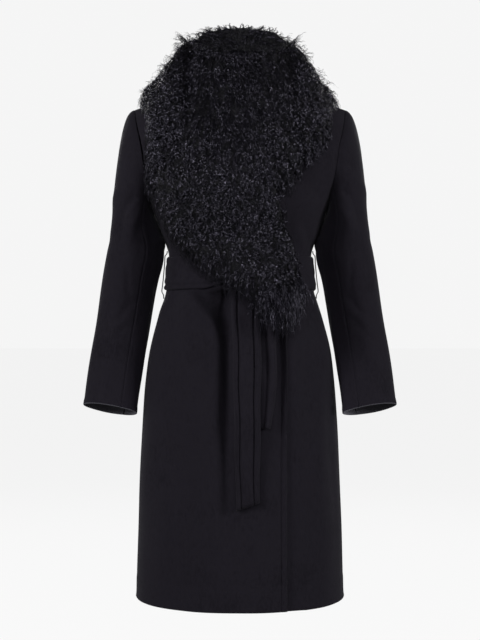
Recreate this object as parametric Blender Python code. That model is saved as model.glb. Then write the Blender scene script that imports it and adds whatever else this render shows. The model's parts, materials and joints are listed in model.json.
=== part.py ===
# Shearling collar coat: a belted wrap coat of thick black wool with a long curly lamb collar.
# The coat stands hollow, as if worn by nobody: cloth walls around an empty inside.
# Metres, +Z up. The front faces -Y, the wearer's right side is at -X.
# The origin is at the base of the neck, where the wearer's shoulders carry the coat.

import math

import bpy
import bmesh
import numpy as np
from mathutils import Vector
from mathutils.bvhtree import BVHTree

# Driving dimensions
CHEST_Z = -0.252
CLOTH = 0.0025
UNDERARM_GAP = 0.0022
UNDERARM_FALL = 0.0160
LAYER_GAP = 0.0009
NECK_SEAM = 0.0005
NECK_HALF_WIDTH = 0.078
NECK_HALF_DEPTH = 0.062
NECK_SIDE_Z = -0.005
NECK_FRONT_Z = -0.030
NECK_BACK_Z = 0.012
SHOULDER_HALF_WIDTH = 0.207
SHOULDER_Z = -0.051
BELT_THICK = 0.0045
BELT_GAP = 0.0006
KNOT_X = 0.012
KNOT_Z = -0.374
PILE = 0.050
UNDER_PILE = 0.040
PILE_EDGE = 0.042

# Outer form of the coat body, level by level from the hem to the chest
BODY = (
    # height, half width, depth in front, depth behind, roundness
    (-1.003, 0.2025, 0.160, 0.150, 2.15),
    (-0.940, 0.2015, 0.158, 0.149, 2.15),
    (-0.820, 0.1976, 0.154, 0.145, 2.15),
    (-0.720, 0.1937, 0.150, 0.142, 2.15),
    (-0.640, 0.1890, 0.147, 0.140, 2.17),
    (-0.580, 0.1845, 0.144, 0.136, 2.18),
    (-0.523, 0.1770, 0.139, 0.130, 2.20),
    (-0.464, 0.1620, 0.131, 0.118, 2.20),
    (-0.420, 0.1480, 0.122, 0.106, 2.20),
    (-0.405, 0.1445, 0.119, 0.102, 2.20),
    (-0.372, 0.1410, 0.113, 0.095, 2.22),
    (-0.336, 0.1400, 0.112, 0.095, 2.25),
    (-0.297, 0.1530, 0.121, 0.101, 2.28),
    (-0.252, 0.1690, 0.130, 0.108, 2.30),
)

# Armhole of the wearer's left side, as a loop seen from the sleeve
ARMHOLE = (
    # turn from the shoulder tip forward in degrees, x, y, z
    (0.0, 0.2070, 0.000, -0.051),
    (30.0, 0.2010, -0.035, -0.085),
    (60.0, 0.1905, -0.062, -0.130),
    (90.0, 0.1835, -0.070, -0.175),
    (120.0, 0.1760, -0.058, -0.215),
    (150.0, 0.1710, -0.030, -0.243),
    (180.0, 0.1690, 0.000, -0.252),
    (210.0, 0.1710, 0.030, -0.243),
    (240.0, 0.1760, 0.056, -0.216),
    (270.0, 0.1840, 0.066, -0.177),
    (300.0, 0.1910, 0.058, -0.130),
    (330.0, 0.2010, 0.034, -0.085),
    (360.0, 0.2070, 0.000, -0.051),
)

# Rings of the wearer's left sleeve below the armhole
SLEEVE = (
    # centre z, centre x, centre y, half width, half depth
    (-0.285, 0.2083, 0.0000, 0.0460, 0.0700),
    (-0.326, 0.2058, 0.0020, 0.0540, 0.0625),
    (-0.375, 0.2138, 0.0020, 0.0535, 0.0585),
    (-0.425, 0.2213, 0.0000, 0.0535, 0.0555),
    (-0.475, 0.2285, -0.0070, 0.0532, 0.0520),
    (-0.522, 0.2355, -0.0180, 0.0528, 0.0485),
    (-0.570, 0.2420, -0.0305, 0.0524, 0.0455),
    (-0.634, 0.2495, -0.0500, 0.0518, 0.0415),
)

# Long soft folds of the skirt: troughs go in, ridges come out
FOLDS = (
    # x at top, x at bottom, top z, bottom z, height at top, height at bottom, half width
    (-0.0240, -0.0270, -0.412, -0.880, -0.014, -0.003, 0.0110),
    (-0.0450, -0.0420, -0.450, -0.860, 0.006, 0.002, 0.0120),
    (-0.1000, -0.0400, -0.411, -0.480, 0.007, 0.005, 0.0160),
    (-0.0520, -0.0300, -0.410, -0.452, -0.014, -0.010, 0.0190),
    (0.0730, 0.0730, -0.414, -0.690, -0.012, -0.001, 0.0085),
    (0.1050, 0.1080, -0.414, -0.760, 0.005, 0.002, 0.0150),
    (-0.1250, -0.1350, -0.430, -0.900, 0.003, 0.004, 0.0300),
    (0.1500, 0.1650, -0.414, -0.520, 0.003, 0.001, 0.0100),
)
BACK_FOLDS = (
    (0.0500, 0.0650, -0.412, -0.960, -0.007, -0.004, 0.0160),
    (-0.0560, -0.0700, -0.412, -0.900, -0.006, -0.005, 0.0180),
    (0.0050, -0.0050, -0.420, -0.980, 0.005, 0.004, 0.0220),
)

# Columns across the front in the skirt: plain x, then shares of the way to the side seam
FRONT_X = (-0.075, -0.056, -0.043, -0.034, -0.025, -0.012, 0.007, 0.027, 0.047, 0.063, 0.0735, 0.0876)
SIDE_SHARES = (0.13, 0.28, 0.44, 0.62, 0.72, 0.82, 0.91, 0.9992)
BACK_COLUMNS = (-0.9994, -0.86, -0.72, -0.58, -0.45, -0.34, -0.23, -0.11, 0.0,
                0.11, 0.23, 0.34, 0.45, 0.58, 0.72, 0.86, 0.9994)
SKIRT_ROWS = (-1.003, -0.955, -0.900, -0.845, -0.790, -0.735, -0.680, -0.630, -0.585, -0.545,
              -0.508, -0.474, -0.447, -0.426, -0.413, -0.406, -0.388, -0.365, -0.341, -0.316,
              -0.290, -0.270, -0.252)
# Turn of the column that runs up the armhole, and where it meets the armhole loop
FRONT_CORNER = 4
BACK_CORNER = 2
CORNER_TURN = 118.0
BELT_ROWS = (-0.406, -0.388, -0.365, -0.341)
TOP_ROWS = (0.13, 0.28, 0.43, 0.58, 0.72, 0.85, 0.94, 0.9988)

# Outline of the collar, ray by ray from the middle of the back round to the crossing in front
RIGHT_COLLAR = (
    # turn from the back in degrees, outer x, outer z, bow of the ray
    (0.0, 0.000, -0.150, 0.000),
    (22.0, -0.062, -0.147, 0.000),
    (44.0, -0.118, -0.128, 0.000),
    (66.0, -0.162, -0.094, 0.000),
    (90.0, -0.188, -0.052, 0.000),
    (106.0, -0.184, -0.095, 0.000),
    (120.0, -0.180, -0.140, 0.000),
    (132.0, -0.174, -0.182, 0.000),
    (139.7, -0.163, -0.224, 0.000),
    (145.8, -0.147, -0.262, 0.000),
    (151.2, -0.124, -0.306, 0.000),
    (155.8, -0.096, -0.350, 0.000),
    (159.6, -0.060, -0.384, 0.001),
    (163.5, -0.020, -0.410, 0.002),
    (167.3, 0.018, -0.436, 0.004),
    (170.4, 0.048, -0.462, 0.006),
    (173.4, 0.077, -0.474, 0.0075),
    (176.5, 0.098, -0.450, 0.0085),
)
LEFT_COLLAR = (
    (0.0, 0.000, -0.150, 0.000),
    (22.0, 0.062, -0.147, 0.000),
    (44.0, 0.118, -0.128, 0.000),
    (66.0, 0.162, -0.094, 0.000),
    (90.0, 0.190, -0.053, 0.000),
    (106.0, 0.187, -0.088, 0.000),
    (120.0, 0.183, -0.120, 0.000),
    (132.0, 0.170, -0.156, 0.000),
    (146.0, 0.146, -0.188, 0.000),
    (160.0, 0.114, -0.213, 0.000),
    (172.0, 0.083, -0.230, 0.001),
    (183.5, 0.0560, -0.241, 0.0022),
)
# Height of the collar's rim above the neckline
STAND = (
    # turn from the back in degrees, height
    (0.0, 0.142),
    (40.0, 0.129),
    (66.0, 0.109),
    (90.0, 0.095),
    (140.0, 0.087),
    (190.0, 0.090),
)


def sample(table, key):
    """Smooth row of a table at a key, by a Hermite curve through its rows."""
    rows = np.array(table, float)
    keys = rows[:, 0]
    if keys[0] > keys[-1]:
        rows = rows[::-1]
        keys = rows[:, 0]
    if key <= keys[0]:
        return rows[0, 1:]
    if key >= keys[-1]:
        return rows[-1, 1:]
    i = int(np.searchsorted(keys, key)) - 1
    span = keys[i + 1] - keys[i]
    t = (key - keys[i]) / span
    here = rows[i, 1:]
    there = rows[i + 1, 1:]
    slope_here = (there - here) / span
    slope_there = slope_here
    if i > 0:
        slope_here = (there - rows[i - 1, 1:]) / (keys[i + 1] - keys[i - 1])
    if i < len(rows) - 2:
        slope_there = (rows[i + 2, 1:] - here) / (keys[i + 2] - keys[i])
    return hermite(here, there, slope_here * span, slope_there * span, t)


def hermite(start, end, start_way, end_way, t):
    return (start * (2 * t**3 - 3 * t**2 + 1) + start_way * (t**3 - 2 * t**2 + t)
            + end * (3 * t**2 - 2 * t**3) + end_way * (t**3 - t**2))


def ease(low, high, value):
    t = min(max((value - low) / (high - low), 0.0), 1.0)
    return t * t * (3 - 2 * t)


def section_point(turn, z, front):
    """Point of the body at a height; turn -1 is the right side seam, 0 the middle, 1 the left."""
    half, ahead, behind, roundness = sample(BODY, z)
    angle = turn * math.pi / 2
    power = 2 / roundness
    x = half * math.copysign(abs(math.sin(angle)) ** power, turn)
    depth = max(math.cos(angle), 0.0) ** power
    return np.array((x, -ahead * depth if front else behind * depth, z))


def turn_of(x, z):
    """Turn at which the body section at a height reaches a given x."""
    half, ahead, behind, roundness = sample(BODY, z)
    return math.copysign(math.asin(min(abs(x) / half, 1.0) ** (roundness / 2)) / (math.pi / 2), x)


def top_line(turn, front):
    """Neckline in the middle, then the shoulder seam out to the shoulder tip."""
    neck = 0.38
    if abs(turn) < neck:
        angle = turn / neck * math.pi / 2
        x = NECK_HALF_WIDTH * math.sin(angle)
        if front:
            return np.array((x, -NECK_HALF_DEPTH * math.cos(angle),
                             NECK_SIDE_Z + (NECK_FRONT_Z - NECK_SIDE_Z) * math.cos(angle)))
        return np.array((x, NECK_HALF_DEPTH * math.cos(angle),
                         NECK_SIDE_Z + (NECK_BACK_Z - NECK_SIDE_Z) * math.cos(angle)))
    share = (abs(turn) - neck) / (1 - neck)
    x = NECK_HALF_WIDTH + share * (SHOULDER_HALF_WIDTH - NECK_HALF_WIDTH)
    return np.array((math.copysign(x, turn), 0.0, NECK_SIDE_Z + share * (SHOULDER_Z - NECK_SIDE_Z)))


def upper_raw(low_turn, top_turn, rise, front):
    low = section_point(low_turn, CHEST_Z, front)
    top = top_line(top_turn, front)
    side = ease(0.2, 0.7, abs(top_turn))
    back = (0.10 + 0.18 * side) * (1 if front else -1)
    low_way = np.array((top[0] - low[0], 0.0, 0.24))
    top_way = np.array((top[0] - low[0], back, 0.20 - 0.13 * side))
    return hermite(low, top, low_way, top_way, rise)


def armhole_point(side, turn):
    x, y, z = sample(ARMHOLE, turn)
    return np.array((side * x, y, z))


def upper_point(low_turn, top_turn, side_turn, rise, front):
    """Point above the chest, drawn out at the side to the armhole."""
    point = upper_raw(low_turn, top_turn, rise, front)
    side = math.copysign(1.0, low_turn)
    swing = CORNER_TURN * (1 - rise) ** 0.9
    target = armhole_point(side, swing if front else 360 - swing)
    pull = target - upper_raw(side * side_turn, side, rise, front)
    return point + pull * min(abs(low_turn) / side_turn, 1.0) ** 5


def fold_height(x, z, folds):
    """How far the cloth stands out of the plain form in a long fold."""
    total = 0.0
    for top_x, low_x, top_z, low_z, top_height, low_height, width in folds:
        if z > top_z + 0.004 or z < low_z - 0.06:
            continue
        share = min(max((top_z - z) / (top_z - low_z), 0.0), 1.0)
        fade = ease(top_z + 0.004, top_z - 0.008, z) * ease(low_z - 0.06, low_z, z)
        across = math.exp(-((x - top_x - share * (low_x - top_x)) / width) ** 2)
        total += (top_height + share * (low_height - top_height)) * across * fade
    return total


def spread(inner):
    """Turns of the inner columns with the side columns added on both hands."""
    left = [inner[0] + share * (-1 - inner[0]) for share in reversed(SIDE_SHARES)]
    right = [inner[-1] + share * (1 - inner[-1]) for share in SIDE_SHARES]
    return left + inner + right


def front_columns(z):
    """Turns of the front's columns at a height, from the right side seam to the left one."""
    return spread([turn_of(x, z) for x in FRONT_X])


def neck_columns(low, corner):
    """Turns of the same columns at the top, where both front edges end near the middle."""
    count = len(FRONT_X)
    start = len(SIDE_SHARES)
    tops = []
    for j, turn in enumerate(low):
        if j < start:
            share = (turn - low[start]) / (low[corner] - low[start])
            tops.append(-0.03 + share * (-1 + 0.03))
        elif j < start + count:
            tops.append(-0.03 + 0.06 * (j - start) / (count - 1))
        else:
            share = (turn - low[start + count - 1]) / (low[-1 - corner] - low[start + count - 1])
            tops.append(0.03 + share * (1 - 0.03))
    return tops


def grid_normals(points, corner):
    """Unit normals of a grid of points, pointing away from the body's axis."""
    along = np.gradient(points, axis=0)
    across = np.gradient(points, axis=1)
    chest = len(SKIRT_ROWS) - 1
    for j in list(range(0, corner)) + list(range(points.shape[1] - corner, points.shape[1])):
        along[chest, j] = points[chest, j] - points[chest - 1, j]
    for j, step in ((corner, 1), (points.shape[1] - 1 - corner, -1)):
        across[chest + 1:, j] = (points[chest + 1:, j + step] - points[chest + 1:, j]) * step
    normals = np.cross(across, along)
    normals /= np.linalg.norm(normals, axis=2)[:, :, None] + 1e-12
    middle = np.array((0.0, 0.0, -0.3))
    away = points - middle
    away[:, :, 2] *= 0.2
    flip = np.sign(np.sum(normals * away, axis=2))
    flip[flip == 0] = 1
    return normals * flip[:, :, None]


def body_grid(front):
    """Outer points of the front or the back, hem first; rows above the chest end at the armholes."""
    rows = []
    folds = FOLDS if front else BACK_FOLDS
    corner = FRONT_CORNER if front else BACK_CORNER
    for z in SKIRT_ROWS[:-1]:
        turns = front_columns(z) if front else BACK_COLUMNS
        row = []
        for turn in turns:
            point = section_point(turn, z, front)
            reach = np.array((point[0], point[1], 0.0))
            reach /= np.linalg.norm(reach)
            row.append(point + reach * fold_height(point[0], z, folds) * (1 - abs(turn) ** 8))
        rows.append(row)
    low = front_columns(CHEST_Z) if front else list(BACK_COLUMNS)
    top = neck_columns(low, corner) if front else [turn / low[-1 - corner] for turn in low]
    side_turn = low[-1 - corner]
    for rise in (0.0,) + TOP_ROWS:
        row = []
        for a, b in zip(low, top):
            if abs(a) > side_turn + 0.001:
                share = (abs(a) - side_turn) / (1 - side_turn)
                swing = CORNER_TURN + share * (180 - CORNER_TURN)
                row.append(armhole_point(math.copysign(1.0, a), swing if front else 360 - swing))
            else:
                way = min(max(b, -1.0), 1.0)
                row.append(upper_point(a, way, side_turn, rise, front))
        rows.append(row)
    points = np.array(rows)
    used = np.ones(points.shape[:2], bool)
    used[len(SKIRT_ROWS):, :corner] = False
    used[len(SKIRT_ROWS):, points.shape[1] - corner:] = False
    return points, used


def material(name, colour, roughness):
    made = bpy.data.materials.new(name)
    made.use_nodes = True
    shader = made.node_tree.nodes["Principled BSDF"]
    shader.inputs["Base Color"].default_value = (*colour, 1.0)
    shader.inputs["Roughness"].default_value = roughness
    made.diffuse_color = (*colour, 1.0)
    return made


def add_object(name, vertices, faces, look):
    mesh = bpy.data.meshes.new(name)
    mesh.from_pydata([tuple(v) for v in vertices], [], faces)
    mesh.validate()
    solid = bmesh.new()
    solid.from_mesh(mesh)
    bmesh.ops.recalc_face_normals(solid, faces=solid.faces)
    solid.to_mesh(mesh)
    solid.free()
    mesh.shade_smooth()
    mesh.materials.append(look)
    made = bpy.data.objects.new(name, mesh)
    COAT.objects.link(made)
    return made


def add_cloth(name, outer, normals, look, used=None):
    """A cloth wall: outer points, inner points moved in by the wall, and the cut edges between."""
    rows, columns = outer.shape[:2]
    if used is None:
        used = np.ones((rows, columns), bool)
    inner = outer - normals * CLOTH
    index = {}
    vertices = []
    for layer, points in enumerate((outer, inner)):
        for i in range(rows):
            for j in range(columns):
                if used[i, j]:
                    index[layer, i, j] = len(vertices)
                    vertices.append(points[i, j])
    faces = []
    edges = {}
    for i in range(rows - 1):
        for j in range(columns - 1):
            ring = ((i, j), (i, j + 1), (i + 1, j + 1), (i + 1, j))
            if not all(used[a, b] for a, b in ring):
                continue
            for corner in ((ring[0], ring[1], ring[2]), (ring[0], ring[2], ring[3])):
                faces.append([index[0, a, b] for a, b in corner])
                faces.append([index[1, a, b] for a, b in reversed(corner)])
            for here, there in zip(ring, ring[1:] + ring[:1]):
                if (there, here) in edges:
                    del edges[there, here]
                else:
                    edges[here, there] = True
    for (a, b), (c, d) in edges:
        faces.append([index[0, a, b], index[1, a, b], index[1, c, d], index[0, c, d]])
    return add_object(name, vertices, faces, look)


def add_loft(name, loops, look, caps=None):
    """A closed solid through a run of closed loops; the caps list the faces that close an end."""
    loops = np.array(loops)
    count, size = loops.shape[:2]
    faces = []
    for k in range(count - 1):
        for m in range(size):
            n = (m + 1) % size
            faces.append((k * size + m, k * size + n, (k + 1) * size + m))
            faces.append((k * size + n, (k + 1) * size + n, (k + 1) * size + m))
    for cap in caps or [tuple(range(size))]:
        faces.append(tuple(cap))
        faces.append(tuple((count - 1) * size + m for m in cap))
    return add_object(name, loops.reshape(-1, 3), faces, look)


def mirrored(points):
    return points * np.array((-1.0, 1.0, 1.0))


def seam_normals(points, corner):
    """Normals that lie in the seam's plane along the side seams and the shoulder seams."""
    normals = grid_normals(points, corner)
    for j in (0, points.shape[1] - 1):
        normals[:len(SKIRT_ROWS), j, 1] = 0.0
    shoulder = np.abs(points[-1, :, 0]) > NECK_HALF_WIDTH - 0.002
    normals[-1, shoulder, 1] = 0.0
    normals[np.linalg.norm(normals, axis=2) == 0] = (0.0, 0.0, 1.0)
    normals /= np.linalg.norm(normals, axis=2)[:, :, None]
    return normals


def build_body():
    """Front panels, one over the other, and the back."""
    front, front_used = body_grid(True)
    back, back_used = body_grid(False)
    front_normals = seam_normals(front, FRONT_CORNER)
    back_normals = seam_normals(back, BACK_CORNER)
    start = len(SIDE_SHARES)
    edge = start + len(FRONT_X) - 1
    add_cloth("front_right", front[:, :edge + 1], front_normals[:, :edge + 1], WOOL, front_used[:, :edge + 1])
    tuck = np.zeros(front.shape[1])
    tuck[:edge + 1] = CLOTH + LAYER_GAP
    tuck[edge + 1] = 0.6 * (CLOTH + LAYER_GAP)
    tuck[edge + 2] = 0.15 * (CLOTH + LAYER_GAP)
    under = front - front_normals * tuck[None, :, None]
    add_cloth("front_left", under[:, start:], front_normals[:, start:], WOOL, front_used[:, start:])
    add_cloth("back", back, back_normals, WOOL, back_used)
    return (front, front_normals, front_used), (back, back_normals, back_used)


def sleeve_frame(z):
    """Centre and the two cross directions of a sleeve ring."""
    x, y, half, depth = sample(SLEEVE, z)
    above = sample(SLEEVE, z + 0.02)
    below = sample(SLEEVE, z - 0.02)
    way = np.array((below[0] - above[0], below[1] - above[1], -0.04))
    if z > -0.30:
        way = np.array((0.004, 0.0, -0.04))
    if z < -0.614:
        way = np.array((0.0052, -0.0122, -0.04))
    way /= np.linalg.norm(way)
    wide = np.array((1.0, 0.0, 0.0))
    wide -= way * np.dot(wide, way)
    wide /= np.linalg.norm(wide)
    ahead = np.cross(way, wide)
    ahead *= -math.copysign(1.0, ahead[1])
    return np.array((x, y, z)), wide * half, ahead * depth, way


def body_side(y, z):
    """Half width of the body at a depth and a height."""
    half, ahead, behind, roundness = sample(BODY, z)
    share = min(abs(y) / (ahead if y < 0 else behind), 1.0)
    return half * (1 - share**roundness) ** (1 / roundness)


def sleeve_point(turn, run):
    """Point of the sleeve; under the arm its cloth falls in against the body's side."""
    point = sleeve_plain(turn, run)
    level = sleeve_plain(180.0, run)[2]
    near = ease(62.0, 22.0, abs(turn % 360 - 192)) * ease(-0.326, -0.312, level) * ease(-0.250, -0.278, level)
    gap = point[0] - body_side(point[1], point[2]) - UNDERARM_GAP
    point[0] -= UNDERARM_FALL * (1 - math.exp(-max(gap, 0.0) / UNDERARM_FALL)) * near
    return point


def sleeve_plain(turn, run):
    """Point of the plain sleeve; run goes 0 to 1 over the cap, then by rings down to the cuff."""
    angle = math.radians(turn)
    if run >= 1:
        top = SLEEVE[0][0]
        z = top + (SLEEVE[-1][0] - top) * (run - 1)
        centre, wide, ahead, way = sleeve_frame(z)
        return centre + wide * math.cos(angle) + ahead * math.sin(angle)
    centre, wide, ahead, way = sleeve_frame(SLEEVE[0][0])
    ring = centre + wide * math.cos(angle) + ahead * math.sin(angle)
    hole = sample(ARMHOLE, turn % 360) + np.array((0.0008, 0.0, 0.0))
    out = 0.5 + 0.5 * math.cos(angle)
    drop = hole[2] - ring[2]
    start_way = np.array((0.098 * out**1.5, -0.02 * math.sin(angle), -0.016 * out))
    start_way[2] -= drop * 0.9 * (1 - out)
    end_way = np.array((0.165 * math.cos(angle) - 0.035, 0.18 * math.sin(angle), -1.1)) * drop
    return hermite(hole, ring, start_way, end_way, run)


CAP_RUNS = (0.0, 0.12, 0.27, 0.45, 0.64, 0.78, 0.90)
SLEEVE_RUNS = CAP_RUNS + (1.0, 1.030, 1.060, 1.083, 1.117, 1.165) + tuple(1 + i / 13 for i in range(3, 14))
UNDER_TURNS = (118.0, 138.0, 159.0, 180.0, 201.0, 222.0, 243.0)
UPPER_TURNS = tuple(243.0 + i * (478.0 - 243.0) / 11 for i in range(12))


def build_sleeves():
    """Two cut pieces to each sleeve: the wide upper one and the narrow one under the arm."""
    trim = 0.18
    for side, turn_side in (("left", 1), ("right", -1)):
        for piece, turns in (("upper", UPPER_TURNS), ("under", UNDER_TURNS)):
            turns = (turns[0] + trim,) + turns[1:-1] + (turns[-1] - trim,)
            outer = np.array([[sleeve_point(t, run) for t in turns] for run in SLEEVE_RUNS])
            normals = np.array([[sleeve_normal(t, run) for t in turns] for run in SLEEVE_RUNS])
            if turn_side < 0:
                outer = mirrored(outer)
                normals = mirrored(normals)
            add_cloth("sleeve_%s_%s" % (side, piece), outer, normals, WOOL)


def sleeve_normal(turn, run):
    step = 0.02
    a = sleeve_point(turn - 3, run)
    b = sleeve_point(turn + 3, run)
    c = sleeve_point(turn, max(run - step, 0.0))
    d = sleeve_point(turn, min(run + step, 2.0))
    normal = np.cross(b - a, d - c)
    normal /= np.linalg.norm(normal)
    point = sleeve_point(turn, run)
    centre = np.array((0.2, 0.0, min(-0.15, point[2])))
    if run >= 1:
        centre = sleeve_frame(SLEEVE[0][0] + (SLEEVE[-1][0] - SLEEVE[0][0]) * (run - 1))[0]
    if np.dot(normal, point - centre) < 0:
        normal = -normal
    return normal


def belt_loops(points, normals, columns):
    """Sections of the belt along a run of the body's columns."""
    first = SKIRT_ROWS.index(BELT_ROWS[0])
    loops = []
    for j in columns:
        column = points[first:first + len(BELT_ROWS), j]
        ways = normals[first:first + len(BELT_ROWS), j]
        near = ease(0.085, 0.030, abs(column[0, 0] - KNOT_X)) if column[0, 1] < 0 else 0.0
        low = (column[0] + (column[1] - column[0]) * 0.60 * near, ways[0])
        top = (column[3] + (column[2] - column[3]) * 0.25 * near, ways[3])
        inside = [low, (column[1], ways[1]), (column[2], ways[2]), top]
        outside = [(top[0], top[1], 0.6), (top[0] * 0.7 + column[2] * 0.3, ways[3], 1.0),
                   (column[2], ways[2], 1.05), (column[1], ways[1], 1.12),
                   (low[0] * 0.7 + column[1] * 0.3, ways[0], 1.15), (low[0], low[1], 0.7)]
        loop = [point + way * BELT_GAP for point, way in inside]
        loop += [point + way * (BELT_GAP + BELT_THICK * part) for point, way, part in outside]
        loops.append(loop)
    return loops


def build_belt(front_sheet, back_sheet):
    """The band round the waist, its knot, its two hanging ends and the two side loops."""
    front, front_normals, front_used = front_sheet
    back, back_normals, back_used = back_sheet
    row = front[SKIRT_ROWS.index(BELT_ROWS[0])]
    right_end = int(np.searchsorted(row[:, 0], KNOT_X - 0.026))
    left_end = int(np.searchsorted(row[:, 0], KNOT_X + 0.026))
    loops = belt_loops(front, front_normals, range(right_end - 1, 0, -1))
    loops += belt_loops(back, back_normals, range(0, back.shape[1]))
    loops += belt_loops(front, front_normals, range(front.shape[1] - 2, left_end - 1, -1))
    add_loft("belt_band", loops, WOOL)

    front_y = section_point(turn_of(KNOT_X, KNOT_Z), KNOT_Z, True)[1]
    build_knot(front_y)
    build_tail("belt_tail_long", -0.0165, 0.0405, -0.0070, 0.0365, -0.4108, -0.800, 0.0112, 0.0055, 0.0155)
    build_tail("belt_tail_short", 0.0120, 0.0650, 0.0180, 0.0690, -0.4108, -0.664, 0.0036, 0.0046, 0.0030)
    for side, sign in (("left", 1), ("right", -1)):
        build_loop("belt_loop_" + side, sign, front[:len(SKIRT_ROWS), -1])


def build_knot(front_y):
    """A soft flat knot: a wrap that swells over the band, drawn in at its waist."""
    half_x = 0.0275
    half_z = 0.0365
    loops = []
    for i in range(11):
        share = -1 + 2 * i / 10
        z = KNOT_Z + half_z * share
        swell = (1 - abs(share) ** 2.6 * 0.55)
        width = half_x * (0.86 + 0.14 * math.cos(share * math.pi)) * (1 - 0.25 * abs(share) ** 4)
        loop = []
        for k in range(14):
            angle = 2 * math.pi * k / 14
            c = math.cos(angle)
            s = math.sin(angle)
            x = width * math.copysign(abs(c) ** 0.8, c)
            back_y = section_point(turn_of(KNOT_X + x, z), z, True)[1] - 0.0006
            thick = 0.026 * swell * (0.90 + 0.10 * math.cos(c * 7.0 + share * 1.6))
            y = back_y - thick * (0.5 - 0.5 * s) ** 0.9
            loop.append((KNOT_X + x, y, z))
        loops.append(loop)
    add_loft("belt_knot", loops, WOOL)


def skirt_front(x, z):
    """Depth of the plain coat front, folds left out."""
    return section_point(turn_of(x, z), z, True)[1]


def build_tail(name, left, right, low_left, low_right, top_z, low_z, lift, thick, slant):
    """A hanging belt end: lengthwise soft folds across, drawn narrower towards its end."""
    rows = 13
    across = 9
    outer = []
    inner = []
    for i in range(rows):
        share = i / (rows - 1)
        x0 = left + (low_left - left) * share
        x1 = right + (low_right - right) * share
        outer_row = []
        inner_row = []
        for j in range(across):
            part = j / (across - 1)
            end = low_z - slant * (1 - part)
            z = top_z + (end - top_z) * share
            x = x0 + (x1 - x0) * part
            wave = 0.0016 * math.cos(part * math.pi * 4.0) * (1 - 0.4 * share)
            edge = 1 - (2 * part - 1) ** 6
            settle = ease(-0.640, -0.720, z) * (lift - 0.0035)
            base = min(skirt_front(x, z), skirt_front((x0 + x1) / 2, z)) - lift + max(settle, 0.0)
            inner_row.append((x, base - wave, z))
            outer_row.append((x, base - wave - thick * (0.45 + 0.55 * edge), z))
        outer.append(outer_row)
        inner.append(inner_row)
    loops = []
    for outer_row, inner_row in zip(outer, inner):
        loops.append(inner_row + outer_row[::-1])
    add_loft(name, loops, WOOL)


def build_loop(name, sign, seam):
    """A narrow strap at the side seam that the belt runs through."""
    half_width = 0.0035
    thick = 0.0016
    path = ((-0.3290, 0.0006), (-0.3340, 0.0026), (-0.3385, 0.0068), (-0.3500, 0.0078), (-0.3735, 0.0080),
            (-0.3970, 0.0082), (-0.4085, 0.0076), (-0.4150, 0.0030), (-0.4220, 0.0006))
    loops = []
    for z, out in path:
        x = float(np.interp(z, seam[:, 2], seam[:, 0])) + out
        loops.append(((x, -half_width, z), (x, half_width, z),
                      (x + thick, half_width, z), (x + thick, -half_width, z)))
    loops = np.array(loops) * np.array((sign, 1.0, 1.0))
    add_loft(name, loops, WOOL)


def neck_point(turn):
    """Point of the neckline, by degrees from the middle of the back; sign picks the side."""
    angle = math.radians(turn)
    y = NECK_HALF_DEPTH * math.cos(angle)
    rim = NECK_BACK_Z if y > 0 else NECK_FRONT_Z
    return np.array((-NECK_HALF_WIDTH * math.sin(angle), y, NECK_SIDE_Z + (rim - NECK_SIDE_Z) * abs(math.cos(angle))))


def tufts(a, b):
    """Uneven surface of the locks."""
    return (math.sin(a * 47 + 1.3 * math.sin(b * 31)) + math.sin(b * 71 + a * 29 + 2.1)
            + 0.7 * math.sin(a * 83 - b * 57 + 0.6)) / 2.7


def clearance(x, z):
    """Room under the fur for the belt, the knot and the hanging ends."""
    belt = 0.0075 * ease(-0.318, -0.332, z) * (1 if z > -0.43 else 0.5)
    knot = 0.0235 * ease(-0.055, -0.024, x) * ease(0.092, 0.052, x) * ease(-0.308, -0.334, z)
    return belt + knot


def smooth_ways(ways, rounds):
    """Directions evened out over their neighbours, so that the fur stands smoothly."""
    for _ in range(rounds):
        padded = np.pad(ways, ((1, 1), (1, 1), (0, 0)), mode="edge")
        ways = (padded[:-2, 1:-1] + padded[2:, 1:-1] + padded[1:-1, :-2] + padded[1:-1, 2:] + ways * 2)
        ways /= np.linalg.norm(ways, axis=2)[:, :, None]
    return ways


def face_spots(a, b, c, d):
    """Test spots on a four-cornered face, along its sides, both its diagonals and between."""
    spots = []
    for u in (0.0, 0.25, 0.5, 0.75, 1.0):
        for start, end in ((a, b), (c, d), (a, c), (b, d), (a, d), (b, c)):
            spots.append(start * (1 - u) + end * u)
    for u in (0.33, 0.67):
        for v in (0.33, 0.67):
            spots.append((a * (1 - u) + b * u) * (1 - v) + (c * (1 - u) + d * u) * v)
    return spots


def push_out(points, ways, trees, room):
    """Moves points out along their ways until the sheet between them clears what lies below."""
    points = points.copy()
    for _ in range(14):
        need = np.zeros(points.shape[:2])
        for i in range(points.shape[0] - 1):
            for j in range(points.shape[1] - 1):
                for spot in face_spots(points[i, j], points[i + 1, j], points[i, j + 1], points[i + 1, j + 1]):
                    lack = shortfall(spot, trees, room)
                    need[i:i + 2, j:j + 2] = np.maximum(need[i:i + 2, j:j + 2], lack)
        if need.max() <= 0:
            break
        points += ways * (np.minimum(need, 0.004)[:, :, None] * 0.8 + (need[:, :, None] > 0) * 0.0002)
    return points


def shortfall(spot, trees, room):
    """How much closer than the room a spot is to the surfaces below it."""
    lack = 0.0
    for tree in trees:
        place, normal, index, distance = tree.find_nearest(Vector(spot))
        inside = (Vector(spot) - place).dot(normal) < -0.5 * distance
        lack = max(lack, room + distance if inside else room - distance)
    return lack


def object_tree(names):
    vertices = []
    faces = []
    for name in names:
        mesh = bpy.data.objects[name].data
        start = len(vertices)
        vertices.extend(v.co for v in mesh.vertices)
        faces.extend([start + i for i in p.vertices] for p in mesh.polygons)
    return BVHTree.FromPolygons(vertices, faces)


def mitre(crossing, length):
    """Lean of the crossing face to its height, so that one half of the collar lies over the other."""
    return (0.10 + 0.36 * ease(0.0, 0.12, length)) * crossing


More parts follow.
